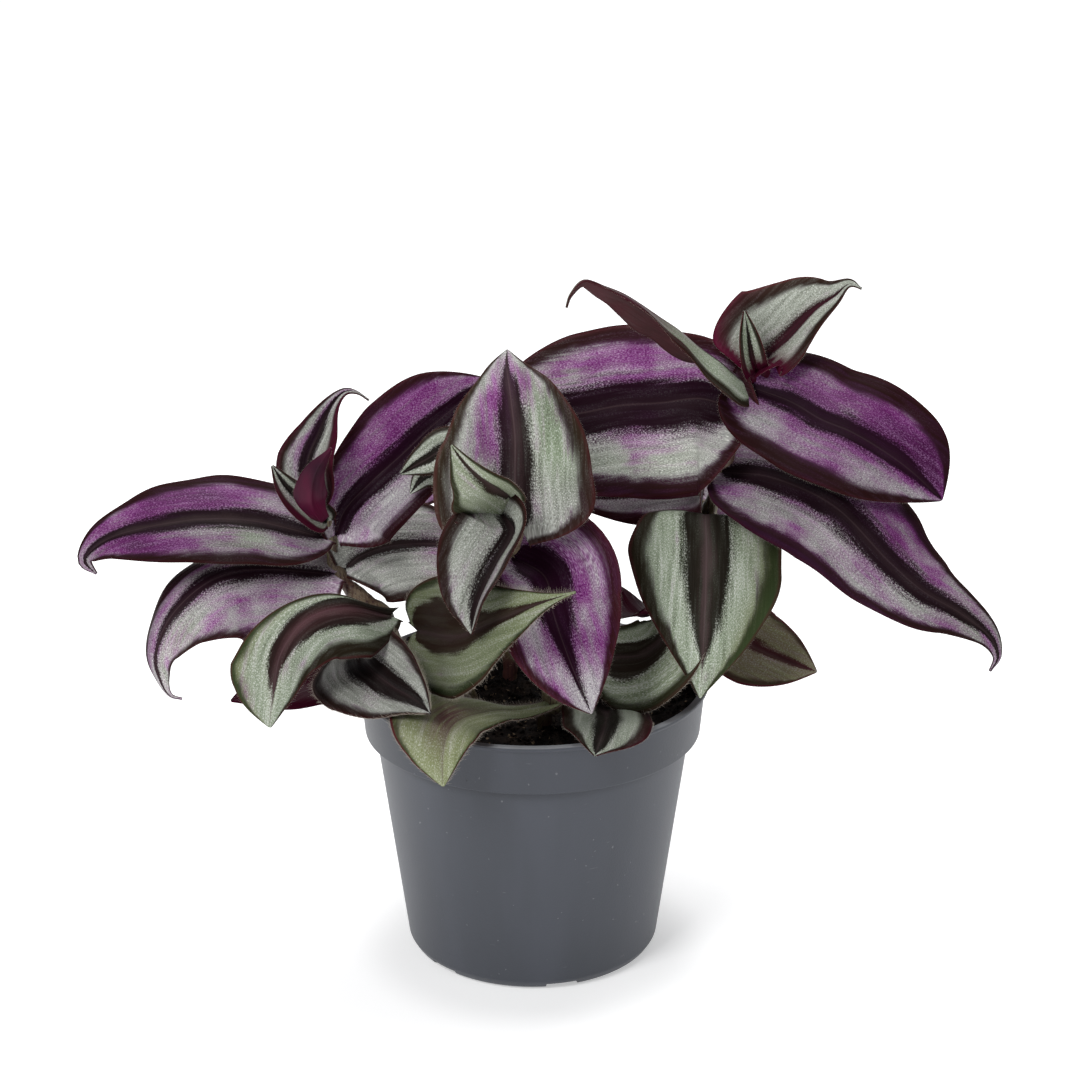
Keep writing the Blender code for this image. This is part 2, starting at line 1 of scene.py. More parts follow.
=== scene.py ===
# %% [markdown]
# # A potted tradescantia
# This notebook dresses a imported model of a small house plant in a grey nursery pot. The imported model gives
# each piece its place. Here each one gets its fine surface: striped glittering leaves, hairy stems, crumbly
# peat and moulded plastic. Every length below is a real one. The tables are in millimetres, and Blender
# works in metres.

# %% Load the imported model
import math
from dataclasses import dataclass, fields
from types import SimpleNamespace

import bmesh
import bpy
import numpy as np
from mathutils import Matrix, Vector, noise


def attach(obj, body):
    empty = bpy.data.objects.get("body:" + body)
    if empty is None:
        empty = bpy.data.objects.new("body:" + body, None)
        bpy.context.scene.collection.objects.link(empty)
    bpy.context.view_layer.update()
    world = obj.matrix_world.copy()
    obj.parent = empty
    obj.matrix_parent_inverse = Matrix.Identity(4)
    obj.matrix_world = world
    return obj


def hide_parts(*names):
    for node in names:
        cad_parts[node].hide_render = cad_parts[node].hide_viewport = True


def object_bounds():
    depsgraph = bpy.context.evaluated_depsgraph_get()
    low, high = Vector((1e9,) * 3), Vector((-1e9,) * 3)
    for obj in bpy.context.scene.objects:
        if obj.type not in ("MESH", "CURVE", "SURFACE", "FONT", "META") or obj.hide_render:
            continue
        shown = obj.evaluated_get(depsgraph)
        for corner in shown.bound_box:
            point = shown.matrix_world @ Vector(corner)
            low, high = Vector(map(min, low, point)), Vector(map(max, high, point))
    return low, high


MM = 0.001
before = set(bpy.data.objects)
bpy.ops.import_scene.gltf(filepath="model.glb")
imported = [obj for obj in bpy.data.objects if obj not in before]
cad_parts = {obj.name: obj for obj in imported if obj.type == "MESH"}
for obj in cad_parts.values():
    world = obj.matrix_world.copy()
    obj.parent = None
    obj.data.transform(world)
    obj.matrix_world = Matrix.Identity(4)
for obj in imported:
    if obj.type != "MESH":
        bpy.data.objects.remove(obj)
cad_low, cad_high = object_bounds()
print("nodes", len(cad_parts), "size in mm", [round((b - a) / MM) for a, b in zip(cad_low, cad_high)])

# %% [markdown]
# ## The camera
# The plant was photographed with a long lens from a little above its pot, so upright lines hardly converge.
# A lens of 83 mm on a 36 mm sensor, 0.67 m away and looking down by 19 degrees, gives that view. Its place
# comes from the pot: the ellipse of a round rim tells how far above it the lens is.

# %% Place the camera
CAMERA_AT = (0.0019, -0.592, 0.317)
CAMERA_DOWN_DEG = 19.3
LENS, SENSOR = 83.3, 36


def put_in_scene(name, data):
    """A new object with this name and data, linked to the scene."""
    made = bpy.data.objects.new(name, data)
    bpy.context.scene.collection.objects.link(made)
    return made


camera_data = bpy.data.cameras.new("camera")
camera_data.lens = LENS
camera_data.sensor_width = SENSOR
camera = put_in_scene("camera", camera_data)
camera.location = CAMERA_AT
camera.rotation_euler = (math.radians(90 - CAMERA_DOWN_DEG), 0, 0)
bpy.context.scene.camera = camera
print("camera", CAMERA_AT, "lens", LENS)

# %% [markdown]
# ## Light
# A product picture on white has light from all round and a large soft lamp on one side. A white sky gives
# the first, and area lamps the second. The standard view transform keeps white white and the purples as
# strong as they are on the plant.

# %% Sky and lamps
SKY = (0.93, 0.96, 1.0, 1)
SKY_STRENGTH = 0.2
LAMPS = {  # its place, what it is turned towards, its size in metres and its power in watts
    "key": ((-0.55, -0.75, 0.95), (0, 0, 0.1), 0.45, 8.5),
    "fill": ((0.8, -0.6, 0.5), (0, 0, 0.1), 0.8, 0.6),
    "top": ((0.1, 0.25, 1.1), (0, 0, 0), 0.7, 8),
}

world = bpy.data.worlds.new("studio")
world.use_nodes = True
sky = world.node_tree.nodes["Background"].inputs
sky["Color"].default_value = SKY
sky["Strength"].default_value = SKY_STRENGTH
bpy.context.scene.world = world
bpy.context.scene.view_settings.view_transform = "Standard"
for name, (place, aim, size, power) in LAMPS.items():
    lamp_data = bpy.data.lights.new(name, "AREA")
    lamp_data.size = size
    lamp_data.energy = power
    lamp = put_in_scene(name, lamp_data)
    lamp.location = place
    lamp.rotation_euler = (Vector(aim) - Vector(place)).to_track_quat("-Z", "Y").to_euler()
print("lamps", len(LAMPS))

# %% [markdown]
# ## Helpers for materials
# A procedural material is a small network of nodes. Written out in full, each one takes many lines, so
# short helpers add a node, do sums, mix two colours, and ease a value from 0 to 1 between two limits.
# Colours are given as they look on screen, from 0 to 255, and turned into the linear values that the nodes
# work with.

# %% Material helpers
def colour(red, green, blue):
    """Screen values from 0 to 255 as a linear colour."""
    shares = [value / 255 for value in (red, green, blue)]
    return (*[s / 12.92 if s <= 0.04045 else ((s + 0.055) / 1.055) ** 2.4 for s in shares], 1)


def add(tree, kind, inputs=None, **settings):
    """A node with its settings made, and its inputs linked or set."""
    made = tree.nodes.new(kind)
    for name, value in settings.items():
        setattr(made, name, value)
    for name, value in (inputs or {}).items():
        if isinstance(value, bpy.types.NodeSocket):
            tree.links.new(value, made.inputs[name])
        else:
            made.inputs[name].default_value = value
    return made


def maths(tree, operation, first, second=0.0):
    return add(tree, "ShaderNodeMath", {0: first, 1: second}, operation=operation).outputs[0]


def times(tree, first, second):
    return maths(tree, "MULTIPLY", first, second)


def plus(tree, first, second):
    return maths(tree, "ADD", first, second)


def minus(tree, first, second):
    return maths(tree, "SUBTRACT", first, second)


def blend(tree, share, first, second):
    """The first colour where share is 0 and the second where it is 1."""
    return add(tree, "ShaderNodeMix", {0: share, 6: first, 7: second}, data_type="RGBA").outputs[2]


def ease(tree, value, low, high):
    """0 below low, 1 above high and smooth in between. low may be above high, which turns it round."""
    inputs = {"Value": value, "From Min": low, "From Max": high}
    return add(tree, "ShaderNodeMapRange", inputs, interpolation_type="SMOOTHSTEP").outputs[0]


def spread_over(tree, value, low, high):
    """A value from 0 to 1 spread evenly from low to high."""
    return add(tree, "ShaderNodeMapRange", {"Value": value, "To Min": low, "To Max": high}).outputs[0]


def own_place(tree):
    """The piece's own coordinates, in metres."""
    return add(tree, "ShaderNodeTexCoord").outputs["Object"]


def speckle(tree, place, scale, detail=2.0, stretch=(1, 1, 1)):
    """Noise from 0 to 1 on a place. A stretch below 1 draws it out that way."""
    put = add(tree, "ShaderNodeMapping", {"Vector": place, "Scale": stretch}).outputs[0]
    return add(tree, "ShaderNodeTexNoise", {"Vector": put, "Scale": scale, "Detail": detail}).outputs[0]


def new_material(name, roughness=0.5, specular=0.5):
    """A material, its tree and its Principled shader."""
    material = bpy.data.materials.new(name)
    material.use_nodes = True
    shader = material.node_tree.nodes["Principled BSDF"]
    shader.inputs["Roughness"].default_value = roughness
    shader.inputs["Specular IOR Level"].default_value = specular
    return material, material.node_tree, shader


def add_relief(tree, shader, height, depth):
    """Bump from a height of 0 to 1, depth in metres."""
    bump = add(tree, "ShaderNodeBump", {"Height": height, "Distance": depth, "Strength": 1.0})
    tree.links.new(bump.outputs[0], shader.inputs["Normal"])


print("material helpers ready")

# %% [markdown]
# ## The floor
# The floor is a plain white sheet that glows enough to melt into the white background. Its glow is lowered
# near the pot, and further round the pot's foot, which paints a soft shadow there that tells where it is.

# %% Lay the floor
FLOOR_HALF = 20.0
FLOOR_WHITE = (0.8, 0.8, 0.8, 1)
GLOW_FAR, GLOW_NEAR, GLOW_UNDER_PAINTED_SHADOW = 0.86, 0.56, 0.42
FAR_REACH, PAINTED_SHADOW_REACH = (0.05, 0.5), (0.034, 0.05)
PAINTED_SHADOW_CENTRE = (0, -0.006, 0)


def make_floor_white():
    """White with a glow that grows with the distance from the pot's foot, which paints a soft shadow round it.
    """
    material, tree, shader = new_material("white_floor", roughness=0.9)
    shader.inputs["Base Color"].default_value = FLOOR_WHITE
    shader.inputs["Emission Color"].default_value = (1, 1, 1, 1)
    pair = {0: own_place(tree), 1: PAINTED_SHADOW_CENTRE}
    away = add(tree, "ShaderNodeVectorMath", pair, operation="DISTANCE").outputs["Value"]
    # A painted shadow: the glow drops towards the pot, and further round its foot.
    far = times(tree, ease(tree, away, *FAR_REACH), GLOW_FAR - GLOW_NEAR)
    foot = times(tree, ease(tree, away, *PAINTED_SHADOW_REACH), GLOW_NEAR - GLOW_UNDER_PAINTED_SHADOW)
    tree.links.new(plus(tree, plus(tree, far, foot), GLOW_UNDER_PAINTED_SHADOW), shader.inputs["Emission Strength"])
    return material


floor_mesh = bpy.data.meshes.new("floor")
corners = [(x * FLOOR_HALF, y * FLOOR_HALF, 0) for x, y in ((-1, -1), (1, -1), (1, 1), (-1, 1))]
floor_mesh.from_pydata(corners, [], [(0, 1, 2, 3)])
floor_mesh.materials.append(make_floor_white())
floor = put_in_scene("floor", floor_mesh)
print("floor", 2 * FLOOR_HALF, "m across")

# %% [markdown]
# ## Helpers for meshes
# Each piece is made as plain vertices and faces, with its place in its mesh, and then takes over from its
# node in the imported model. A finished piece rides on the one body of this part, which is called root.

# %% Mesh helpers
DOUBLE_GAP = 1e-6


def new_piece(name, vertices, faces, *materials):
    """A smooth object from points in millimetres."""
    mesh = bpy.data.meshes.new(name)
    mesh.from_pydata([tuple(v) for v in np.asarray(vertices, float) * MM], [], faces)
    mesh.shade_smooth()
    for material in materials:
        mesh.materials.append(material)
    return put_in_scene(name, mesh)


def face_out(piece):
    """Merges doubled vertices and turns every face outwards."""
    shape = bmesh.new()
    shape.from_mesh(piece.data)
    bmesh.ops.remove_doubles(shape, verts=shape.verts, dist=DOUBLE_GAP)
    bmesh.ops.recalc_face_normals(shape, faces=shape.faces)
    shape.to_mesh(piece.data)
    shape.free()


def hand_over(piece, slot, *nodes):
    """The piece rides on the part and stands for the nodes. The slot is not used."""
    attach(piece, "root")
    if nodes:
        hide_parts(*nodes)


def bake_modifiers(piece):
    """Turns the evaluated object into a plain mesh and removes its modifiers."""
    graph = bpy.context.evaluated_depsgraph_get()
    mesh = bpy.data.meshes.new_from_object(piece.evaluated_get(graph))
    piece.modifiers.clear()
    piece.data = mesh
    return piece


def unit(v):
    """The same direction with a length of 1."""
    v = np.asarray(v, float)
    return v / np.linalg.norm(v)


print("mesh helpers ready")

# %% [markdown]
# ## The pot
# A nursery pot is a thin shell blown or pressed from recycled plastic: a tapered body, a deep collar that
# lets the pots stack, a small rolled lip, and a foot ring with notches through which water drains. It is
# round, so its section is drawn once and turned about its axis. The corners of the section are rounded by
# short arcs, because a moulded edge is never sharp, and its highlight is what tells the eye that this is
# plastic. The notches and the drain holes are cut afterwards.

# %% The pot's sizes
RIM_R, RIM_Z = 45.0, 72.6
COLLAR_R, COLLAR_Z, STEP_RISE = 43.0, 59.0, 0.6
BODY_TOP_R, BASE_R, BASE_FILLET = 40.3, 32.3, 2.6
WALL, CORNER = 1.1, 1.0
LIP_OUT, LIP_DROP, LIP_SLOPE = 0.9, 1.3, 0.35
FLOOR_LIFT, FOOT_IN_R, FOOT_SLOPE = 2.2, 27.5, 0.4
HUB_R, HUB_SLOPE = 9.0, 0.5
EDGE_R, EDGE_STEPS, EDGE_ROOM, FILLET_STEPS = 0.35, 3, 2.2, 4
print("pot", 2 * RIM_R, "mm across and", RIM_Z, "mm high")


# %% Its section
def rounded(corners):
    """A section's corners, each but the first and the last replaced by a short arc."""
    path = [corners[0]]
    for before, here, after in zip(corners, corners[1:], corners[2:]):
        before, here, after = np.array(before), np.array(here), np.array(after)
        back, ahead = before - here, after - here
        reach = min(EDGE_R, np.linalg.norm(back) / EDGE_ROOM, np.linalg.norm(ahead) / EDGE_ROOM)
        start, end = here + unit(back) * reach, here + unit(ahead) * reach
        for k in range(EDGE_STEPS + 1):
            t = k / EDGE_STEPS
            path.append(tuple((1 - t) ** 2 * start + 2 * t * (1 - t) * here + t**2 * end))
    return [*path, corners[-1]]


def pot_section():
    """The section from the pad under the floor out, up the wall, over the lip and down inside."""
    turns = [math.pi / 2 * k / FILLET_STEPS for k in range(FILLET_STEPS)]
    fillet = [(BASE_R - BASE_FILLET * (1 - math.sin(a)), BASE_FILLET * (1 - math.cos(a))) for a in turns]
    outside = [
        (0.0, 0.0),
        (HUB_R - HUB_SLOPE, 0.0),
        (HUB_R, FLOOR_LIFT),
        (FOOT_IN_R, FLOOR_LIFT),
        (FOOT_IN_R + FOOT_SLOPE, 0.0),
        *fillet,
        (BASE_R + (BODY_TOP_R - BASE_R) * BASE_FILLET / COLLAR_Z, BASE_FILLET),
        (BODY_TOP_R, COLLAR_Z),
        (COLLAR_R, COLLAR_Z + STEP_RISE),
        (RIM_R - LIP_OUT, RIM_Z - LIP_DROP),
        (RIM_R, RIM_Z - LIP_DROP + LIP_SLOPE),
        (RIM_R, RIM_Z),
    ]
    inside = [
        (RIM_R - LIP_OUT - WALL, RIM_Z),
        (COLLAR_R - WALL, COLLAR_Z + 3 * STEP_RISE),
        (BODY_TOP_R - WALL, COLLAR_Z + 2 * STEP_RISE),
        (BASE_R - WALL, FLOOR_LIFT + WALL + CORNER),
        (BASE_R - WALL - CORNER, FLOOR_LIFT + WALL),
        (0.0, FLOOR_LIFT + WALL),
    ]
    return rounded(outside + inside)


print("section of", len(pot_section()), "points")


# %% Turn a section about its axis
def turned(section, steps):
    """Vertices and faces of a solid turned from a section that starts and ends on the axis."""
    turns = [2 * math.pi * k / steps for k in range(steps)]
    vertices, faces, rings = [], [], []
    for r, z in section:
        count = 1 if r == 0 else steps
        rings.append(range(len(vertices), len(vertices) + count))
        vertices += [(r * math.cos(a), r * math.sin(a), z) for a in turns[:count]]
    for low, high in zip(rings, rings[1:]):
        for k in range(steps):
            m = (k + 1) % steps
            corners = [low[k % len(low)], high[k % len(high)], high[m % len(high)], low[m % len(low)]]
            faces.append(tuple(dict.fromkeys(corners)))
    return vertices, faces


POT_STEPS = 160
pot = new_piece("nursery_pot", *turned(pot_section(), POT_STEPS))
face_out(pot)
print("pot before its cuts", len(pot.data.polygons), "faces")

# %% Cut the notches and the drain holes
NOTCH_COUNT, NOTCH_SIZE, NOTCH_FIRST_DEG = 6, (14.0, 8.5, 3.4), -76.0
DRAIN_COUNT, DRAIN_R, DRAIN_RING_R, DRAIN_TURN, DRAIN_SIDES = 6, 3.0, 19.0, 0.37, 32
SHARP_DEG = 40


def cutter(name, shape, ring_r, height, turn, own_turn):
    """A shape on a ring about the axis, as a guide that isn't rendered."""
    mesh = bpy.data.meshes.new(name)
    shape.to_mesh(mesh)
    shape.free()
    made = put_in_scene(name, mesh)
    made.location = [c * MM for c in (ring_r * math.cos(turn), ring_r * math.sin(turn), height)]
    made.rotation_euler[2] = own_turn
    made.hide_render = True
    return made


def notch_cutter(k):
    turn = math.radians(NOTCH_FIRST_DEG + k * 360 / NOTCH_COUNT)
    shape = bmesh.new()
    bmesh.ops.create_cube(shape, size=1)
    bmesh.ops.scale(shape, vec=[s * MM for s in NOTCH_SIZE], verts=shape.verts)
    return cutter(f"notch_{k}", shape, BASE_R, 0, turn, turn)


def drain_cutter(k):
    turn = 2 * math.pi * (k + DRAIN_TURN) / DRAIN_COUNT
    shape = bmesh.new()
    sizes = {"radius1": DRAIN_R * MM, "radius2": DRAIN_R * MM, "depth": 4 * FLOOR_LIFT * MM}
    bmesh.ops.create_cone(shape, cap_ends=True, segments=DRAIN_SIDES, **sizes)
    return cutter(f"drain_{k}", shape, DRAIN_RING_R, FLOOR_LIFT, turn, 0)


cutters = [notch_cutter(k) for k in range(NOTCH_COUNT)] + [drain_cutter(k) for k in range(DRAIN_COUNT)]
for tool in cutters:
    cut = pot.modifiers.new(tool.name, "BOOLEAN")
    cut.operation = "DIFFERENCE"
    cut.solver = "EXACT"
    cut.object = tool
bake_modifiers(pot)
for tool in cutters:
    bpy.data.objects.remove(tool)
pot.data.shade_smooth()
pot.data.set_sharp_from_angle(angle=math.radians(SHARP_DEG))
print("pot", len(pot.data.polygons), "faces")

# %% [markdown]
# ## Grey plastic
# Recycled plastic has one colour all through, with a soft sheen from the mould's fine texture. Up close it
# shows pale dust specks, faint upright flow marks and a few scuffs. Four noises on the pot's own
# coordinates make these: one drawn out upwards for the flow, a fine one for the mould's grain, a sparse one
# for the specks, and one drawn out sideways for the scuffs. The collar has painted shade that makes it a
# little darker than the body, the crease under it has a darker painted shade, and the top of the lip has a
# pale painted highlight. These three go by height alone.

# %% The plastic's finish
PLASTIC = colour(72, 75, 83)
PLASTIC_DARK = colour(67, 70, 77)
PLASTIC_PAINTED_SHADE = colour(34, 36, 41)
DUST_AND_HIGHLIGHT = colour(140, 142, 145)
# The scale, the detail and the stretch of each noise
PLASTIC_NOISES = ((60, 3, (1, 1, 0.18)), (2600, 2), (760, 1), (190, 4, (1, 1, 9)))
FLOW_EASE, DUST_EASE, SCUFF_EASE = (0.35, 0.65), (0.76, 0.79), (0.72, 0.78)
DUST_SHOWS, SCUFF_SHOWS = 0.4, 0.25
CREASE_UNDER, CREASE_OVER, CREASE_PAINTED_SHADE = 3.2, 1.2, 0.4
COLLAR_FADE, COLLAR_PAINTED_SHADE = 1.5, 0.2
LIP_FADE, LIP_PAINTED_HIGHLIGHT = 0.3, 0.8
PLASTIC_GLOSS = (0.36, 0.5)
FLOW_RELIEF, PLASTIC_RELIEF = 0.5, 0.00006


def make_plastic():
    """Grey plastic, with its flow marks, dust and scuffs, and painted shade and a painted highlight by height.
    """
    material, tree, shader = new_material("slate_plastic", roughness=0.42, specular=0.3)
    place = own_place(tree)
    flow, grain, dust, scuff = [speckle(tree, place, *how) for how in PLASTIC_NOISES]
    height = add(tree, "ShaderNodeSeparateXYZ", {"Vector": place}).outputs["Z"]

    def between(low, high):
        return ease(tree, height, low * MM, high * MM)

    skin = blend(tree, ease(tree, flow, *FLOW_EASE), PLASTIC_DARK, PLASTIC)
    dusty = times(tree, ease(tree, dust, *DUST_EASE), DUST_SHOWS)
    scuffed = times(tree, ease(tree, scuff, *SCUFF_EASE), SCUFF_SHOWS)
    skin = blend(tree, maths(tree, "MAXIMUM", dusty, scuffed), skin, DUST_AND_HIGHLIGHT)
    # Painted shade in the crease under the collar.
    under, over = between(COLLAR_Z - CREASE_UNDER, COLLAR_Z), between(COLLAR_Z + CREASE_OVER, COLLAR_Z)
    skin = blend(tree, times(tree, times(tree, under, over), CREASE_PAINTED_SHADE), skin, PLASTIC_PAINTED_SHADE)
    # Painted shade that makes the collar a little darker than the body.
    collar = times(tree, between(COLLAR_Z, COLLAR_Z + COLLAR_FADE), COLLAR_PAINTED_SHADE)
    skin = blend(tree, collar, skin, PLASTIC_PAINTED_SHADE)
    # A painted highlight along the top of the lip, in the pale colour of the dust.
    lip = times(tree, between(RIM_Z - LIP_FADE, RIM_Z), LIP_PAINTED_HIGHLIGHT)
    tree.links.new(blend(tree, lip, skin, DUST_AND_HIGHLIGHT), shader.inputs["Base Color"])
    tree.links.new(spread_over(tree, flow, *PLASTIC_GLOSS), shader.inputs["Roughness"])
    add_relief(tree, shader, plus(tree, times(tree, flow, FLOW_RELIEF), grain), PLASTIC_RELIEF)
    return material


pot.data.materials.clear()
pot.data.materials.append(make_plastic())
hand_over(pot, "pot", "pot")
print("plastic on", pot.name)

# %% [markdown]
# ## The soil
# Potting soil is dark peat: a lumpy bed with crumbs of many sizes, short fibres and a few paler bits of
# bark. The bed is a turned solid whose top is raised and lowered by formula, because it has to fill the pot
# to its walls. More than a thousand crumbs lie on it, so Geometry Nodes scatter them: points on the top,
# one small lump on each with a random turn and size, all with fixed seeds so that each run gives the same
# soil.

# %% The soil's bed
SOIL_Z, SOIL_GAP, SOIL_FADE = 66.0, 0.3, 6.0
SOIL_RINGS, SOIL_STEPS = 44, 176
SOIL_LUMP, SOIL_GRAIN, GRAIN_LENGTH = 0.8, 0.55, 2.4
GRAIN_SLICE, GRAIN_FRACTAL = 3.0, (1.0, 2.0, 3)
BROAD_WAVES, BROAD_START = (0.31, 0.27), 0.7
NARROW_WAVES, NARROW_START, NARROW_SLANT, NARROW_SHARE = (0.83, 0.71), 1.1, 0.5, 0.5


def soil_height(x, y):
    """Gentle lumps by formula, with a finer grain on them."""
    broad = math.sin(BROAD_WAVES[0] * x + BROAD_START) * math.cos(BROAD_WAVES[1] * y)
    slanted = math.sin(NARROW_WAVES[0] * x - NARROW_SLANT * y)
    narrow = slanted * math.cos(NARROW_WAVES[1] * y + NARROW_START)
    grain = noise.fractal((x / GRAIN_LENGTH, y / GRAIN_LENGTH, GRAIN_SLICE), *GRAIN_FRACTAL)
    return SOIL_LUMP * (broad + NARROW_SHARE * narrow) + SOIL_GRAIN * grain


def soil_section():
    """The bed's section, a gap inside the pot, and the radius of its top."""
    share = (SOIL_Z - COLLAR_Z - STEP_RISE) / (RIM_Z - COLLAR_Z - STEP_RISE)
    edge = COLLAR_R + (RIM_R - LIP_OUT - COLLAR_R) * share - WALL - SOIL_GAP
    base = FLOOR_LIFT + WALL + SOIL_GAP
    wall = [
        (0.0, base),
        (BASE_R - WALL - CORNER - SOIL_GAP, base),
        (BASE_R - WALL - SOIL_GAP, base + CORNER),
        (BODY_TOP_R - WALL - SOIL_GAP, COLLAR_Z + 3 * STEP_RISE),
        (COLLAR_R - WALL - SOIL_GAP, COLLAR_Z + 4 * STEP_RISE),
    ]
    return [*wall, *[(edge * (1 - k / SOIL_RINGS), SOIL_Z) for k in range(SOIL_RINGS)], (0.0, SOIL_Z)], edge


def lifted(point, edge):
    """A point of the top raised by the lumps, which fade out towards the wall."""
    x, y, z = point
    if z != SOIL_Z:
        return point
    return x, y, z + soil_height(x, y) * min(1.0, (edge - math.hypot(x, y)) / SOIL_FADE)


section, soil_edge = soil_section()
bed_points, bed_faces = turned(section, SOIL_STEPS)
soil = new_piece("peat_bed", [lifted(p, soil_edge) for p in bed_points], bed_faces)
face_out(soil)
print("soil edge at", round(soil_edge, 1), "mm, faces", len(soil.data.polygons))

# %% [markdown]
# ## Peat
# Damp peat is nearly black, with brown where it has dried. Two noises of different sizes mix the browns,
# and the finer one also gives the grain of the surface. A last sparse noise leaves pale specks of bark and
# lime.

# %% The peat's finish
PEAT_WET = colour(12, 9, 8)
PEAT_DRY = colour(42, 33, 27)
PEAT_SPECK = colour(120, 104, 84)
PEAT_NOISES = ((240, 3), (1700, 4), (620, 1))
CLOD_SHARE, GRAIN_SHARE = 0.6, 0.5
DRY_EASE, SPECK_EASE = (0.45, 0.75), 0.03
BED_SPECKS, CRUMB_SPECKS = 0.72, 0.66
PEAT_RELIEF = 0.0006


def make_peat(name, specks):
    """Peat whose pale specks begin where their noise is above specks."""
    material, tree, shader = new_material(name, roughness=0.88, specular=0.15)
    place = own_place(tree)
    clods, grain, bark = [speckle(tree, place, *how) for how in PEAT_NOISES]
    both = plus(tree, times(tree, clods, CLOD_SHARE), times(tree, grain, GRAIN_SHARE))
    base = blend(tree, ease(tree, both, *DRY_EASE), PEAT_WET, PEAT_DRY)
    skin = blend(tree, ease(tree, bark, specks, specks + SPECK_EASE), base, PEAT_SPECK)
    tree.links.new(skin, shader.inputs["Base Color"])
    add_relief(tree, shader, grain, PEAT_RELIEF)
    return material


soil.data.materials.append(make_peat("damp_peat", BED_SPECKS))
hand_over(soil, "soil", "soil")
print("peat on", soil.name)

# %% [markdown]
# ## Crumbs and fibres
# The scatter tree takes the top of the bed and sprinkles points on it at a density that has a name, so that
# it can be tried out. Each point gets one crumb: a small ball of twenty faces, pushed out of shape by
# noise. The same tree makes the fibres from a thin three-sided rod.

# %% Helpers for Geometry Nodes
def new_tree(name, inputs):
    """A geometry tree with a mesh input, named inputs (name, type, value), and its two end nodes."""
    tree = bpy.data.node_groups.new(name, "GeometryNodeTree")
    tree.interface.new_socket("Mesh", in_out="INPUT", socket_type="NodeSocketGeometry")
    for label, kind, value in inputs:
        socket = tree.interface.new_socket(label, in_out="INPUT", socket_type=f"NodeSocket{kind}")
        socket.default_value = value
    tree.interface.new_socket("Mesh", in_out="OUTPUT", socket_type="NodeSocketGeometry")
    return tree, tree.nodes.new("NodeGroupInput").outputs, tree.nodes.new("NodeGroupOutput")


def end_tree(tree, out, geometry, material):
    """The end of each tree: its instances made real, and one material on all of it."""
    real = add(tree, "GeometryNodeRealizeInstances", {"Geometry": geometry})
    done = add(tree, "GeometryNodeSetMaterial", {"Geometry": real.outputs[0], "Material": material})
    tree.links.new(done.outputs[0], out.inputs[0])
    return tree


def put_on_points(tree, points, shape, turn, size):
    """One copy of a shape on every point."""
    inputs = {"Points": points, "Instance": shape.outputs["Mesh"], "Rotation": turn, "Scale": size}
    return add(tree, "GeometryNodeInstanceOnPoints", inputs).outputs[0]


def random_vector(tree, low, high, **inputs):
    node = add(tree, "FunctionNodeRandomValue", {0: low, 1: high, **inputs}, data_type="FLOAT_VECTOR")
    return node.outputs[0]


def vector_maths(tree, operation, inputs):
    return add(tree, "ShaderNodeVectorMath", inputs, operation=operation).outputs[0]


def use_tree(piece, tree, **values):
    """Puts the tree on a piece with its inputs set by their sockets' identifiers, and bakes it in."""
    modifier = piece.modifiers.new(tree.name, "NODES")
    modifier.node_group = tree
    for socket in tree.interface.items_tree:
        if socket.in_out == "INPUT" and socket.name in values:
            modifier[socket.identifier] = values[socket.name]
    return bake_modifiers(piece)


print("tree helpers ready")

# %% A tree that scatters
LEAST_GROWTH, MOST_GROWTH = (0.5, 0.5, 0.5), (1.7, 1.7, 1.2)
PUSH_NOISE = {"Scale": 1500.0, "Detail": 1.0}
BED_INSET, BED_DEPTH = 1.6, 3


def scatter_tree(name, material, kind, shape, push):
    """Scatters copies of a shape on a surface, and pushes their points about by noise."""
    sizes = [("Density", "Float", 9e5), ("Size", "Float", 0.0005), ("Seed", "Int", 3)]
    tree, given, out = new_tree(name, sizes)
    spread = {"Mesh": given["Mesh"], "Density": given["Density"], "Seed": given["Seed"]}
    spots = add(tree, "GeometryNodeDistributePointsOnFaces", spread).outputs["Points"]
    turn = random_vector(tree, (0, 0, 0), (math.tau,) * 3)
    growth = random_vector(tree, LEAST_GROWTH, MOST_GROWTH)
    size = vector_maths(tree, "SCALE", {0: growth, "Scale": given["Size"]})
    placed = put_on_points(tree, spots, add(tree, kind, shape), turn, size)
    real = add(tree, "GeometryNodeRealizeInstances", {"Geometry": placed}).outputs[0]
    rough = add(tree, "ShaderNodeTexNoise", PUSH_NOISE).outputs["Color"]
    centred = vector_maths(tree, "SUBTRACT", {0: rough, 1: (0.5, 0.5, 0.5)})
    shift = vector_maths(tree, "SCALE", {0: centred, "Scale": push})
    moved = add(tree, "GeometryNodeSetPosition", {"Geometry": real, "Offset": shift}).outputs[0]
    return end_tree(tree, out, moved, material)


def bed_top(name):
    """The top of the bed alone, a little in from its edge, for the scatter to work on."""
    top = bmesh.new()
    top.from_mesh(soil.data)
    reach = (soil_edge - BED_INSET) * MM
    low = (SOIL_Z - BED_DEPTH) * MM
    middles = [(face, face.calc_center_median()) for face in top.faces]
    away = [face for face, middle in middles if middle.z < low or middle.xy.length > reach]
    bmesh.ops.delete(top, geom=away, context="FACES")
    mesh = bpy.data.meshes.new(name)
    top.to_mesh(mesh)
    top.free()
    return put_in_scene(name, mesh)


print("copies grow by", LEAST_GROWTH, "to", MOST_GROWTH)

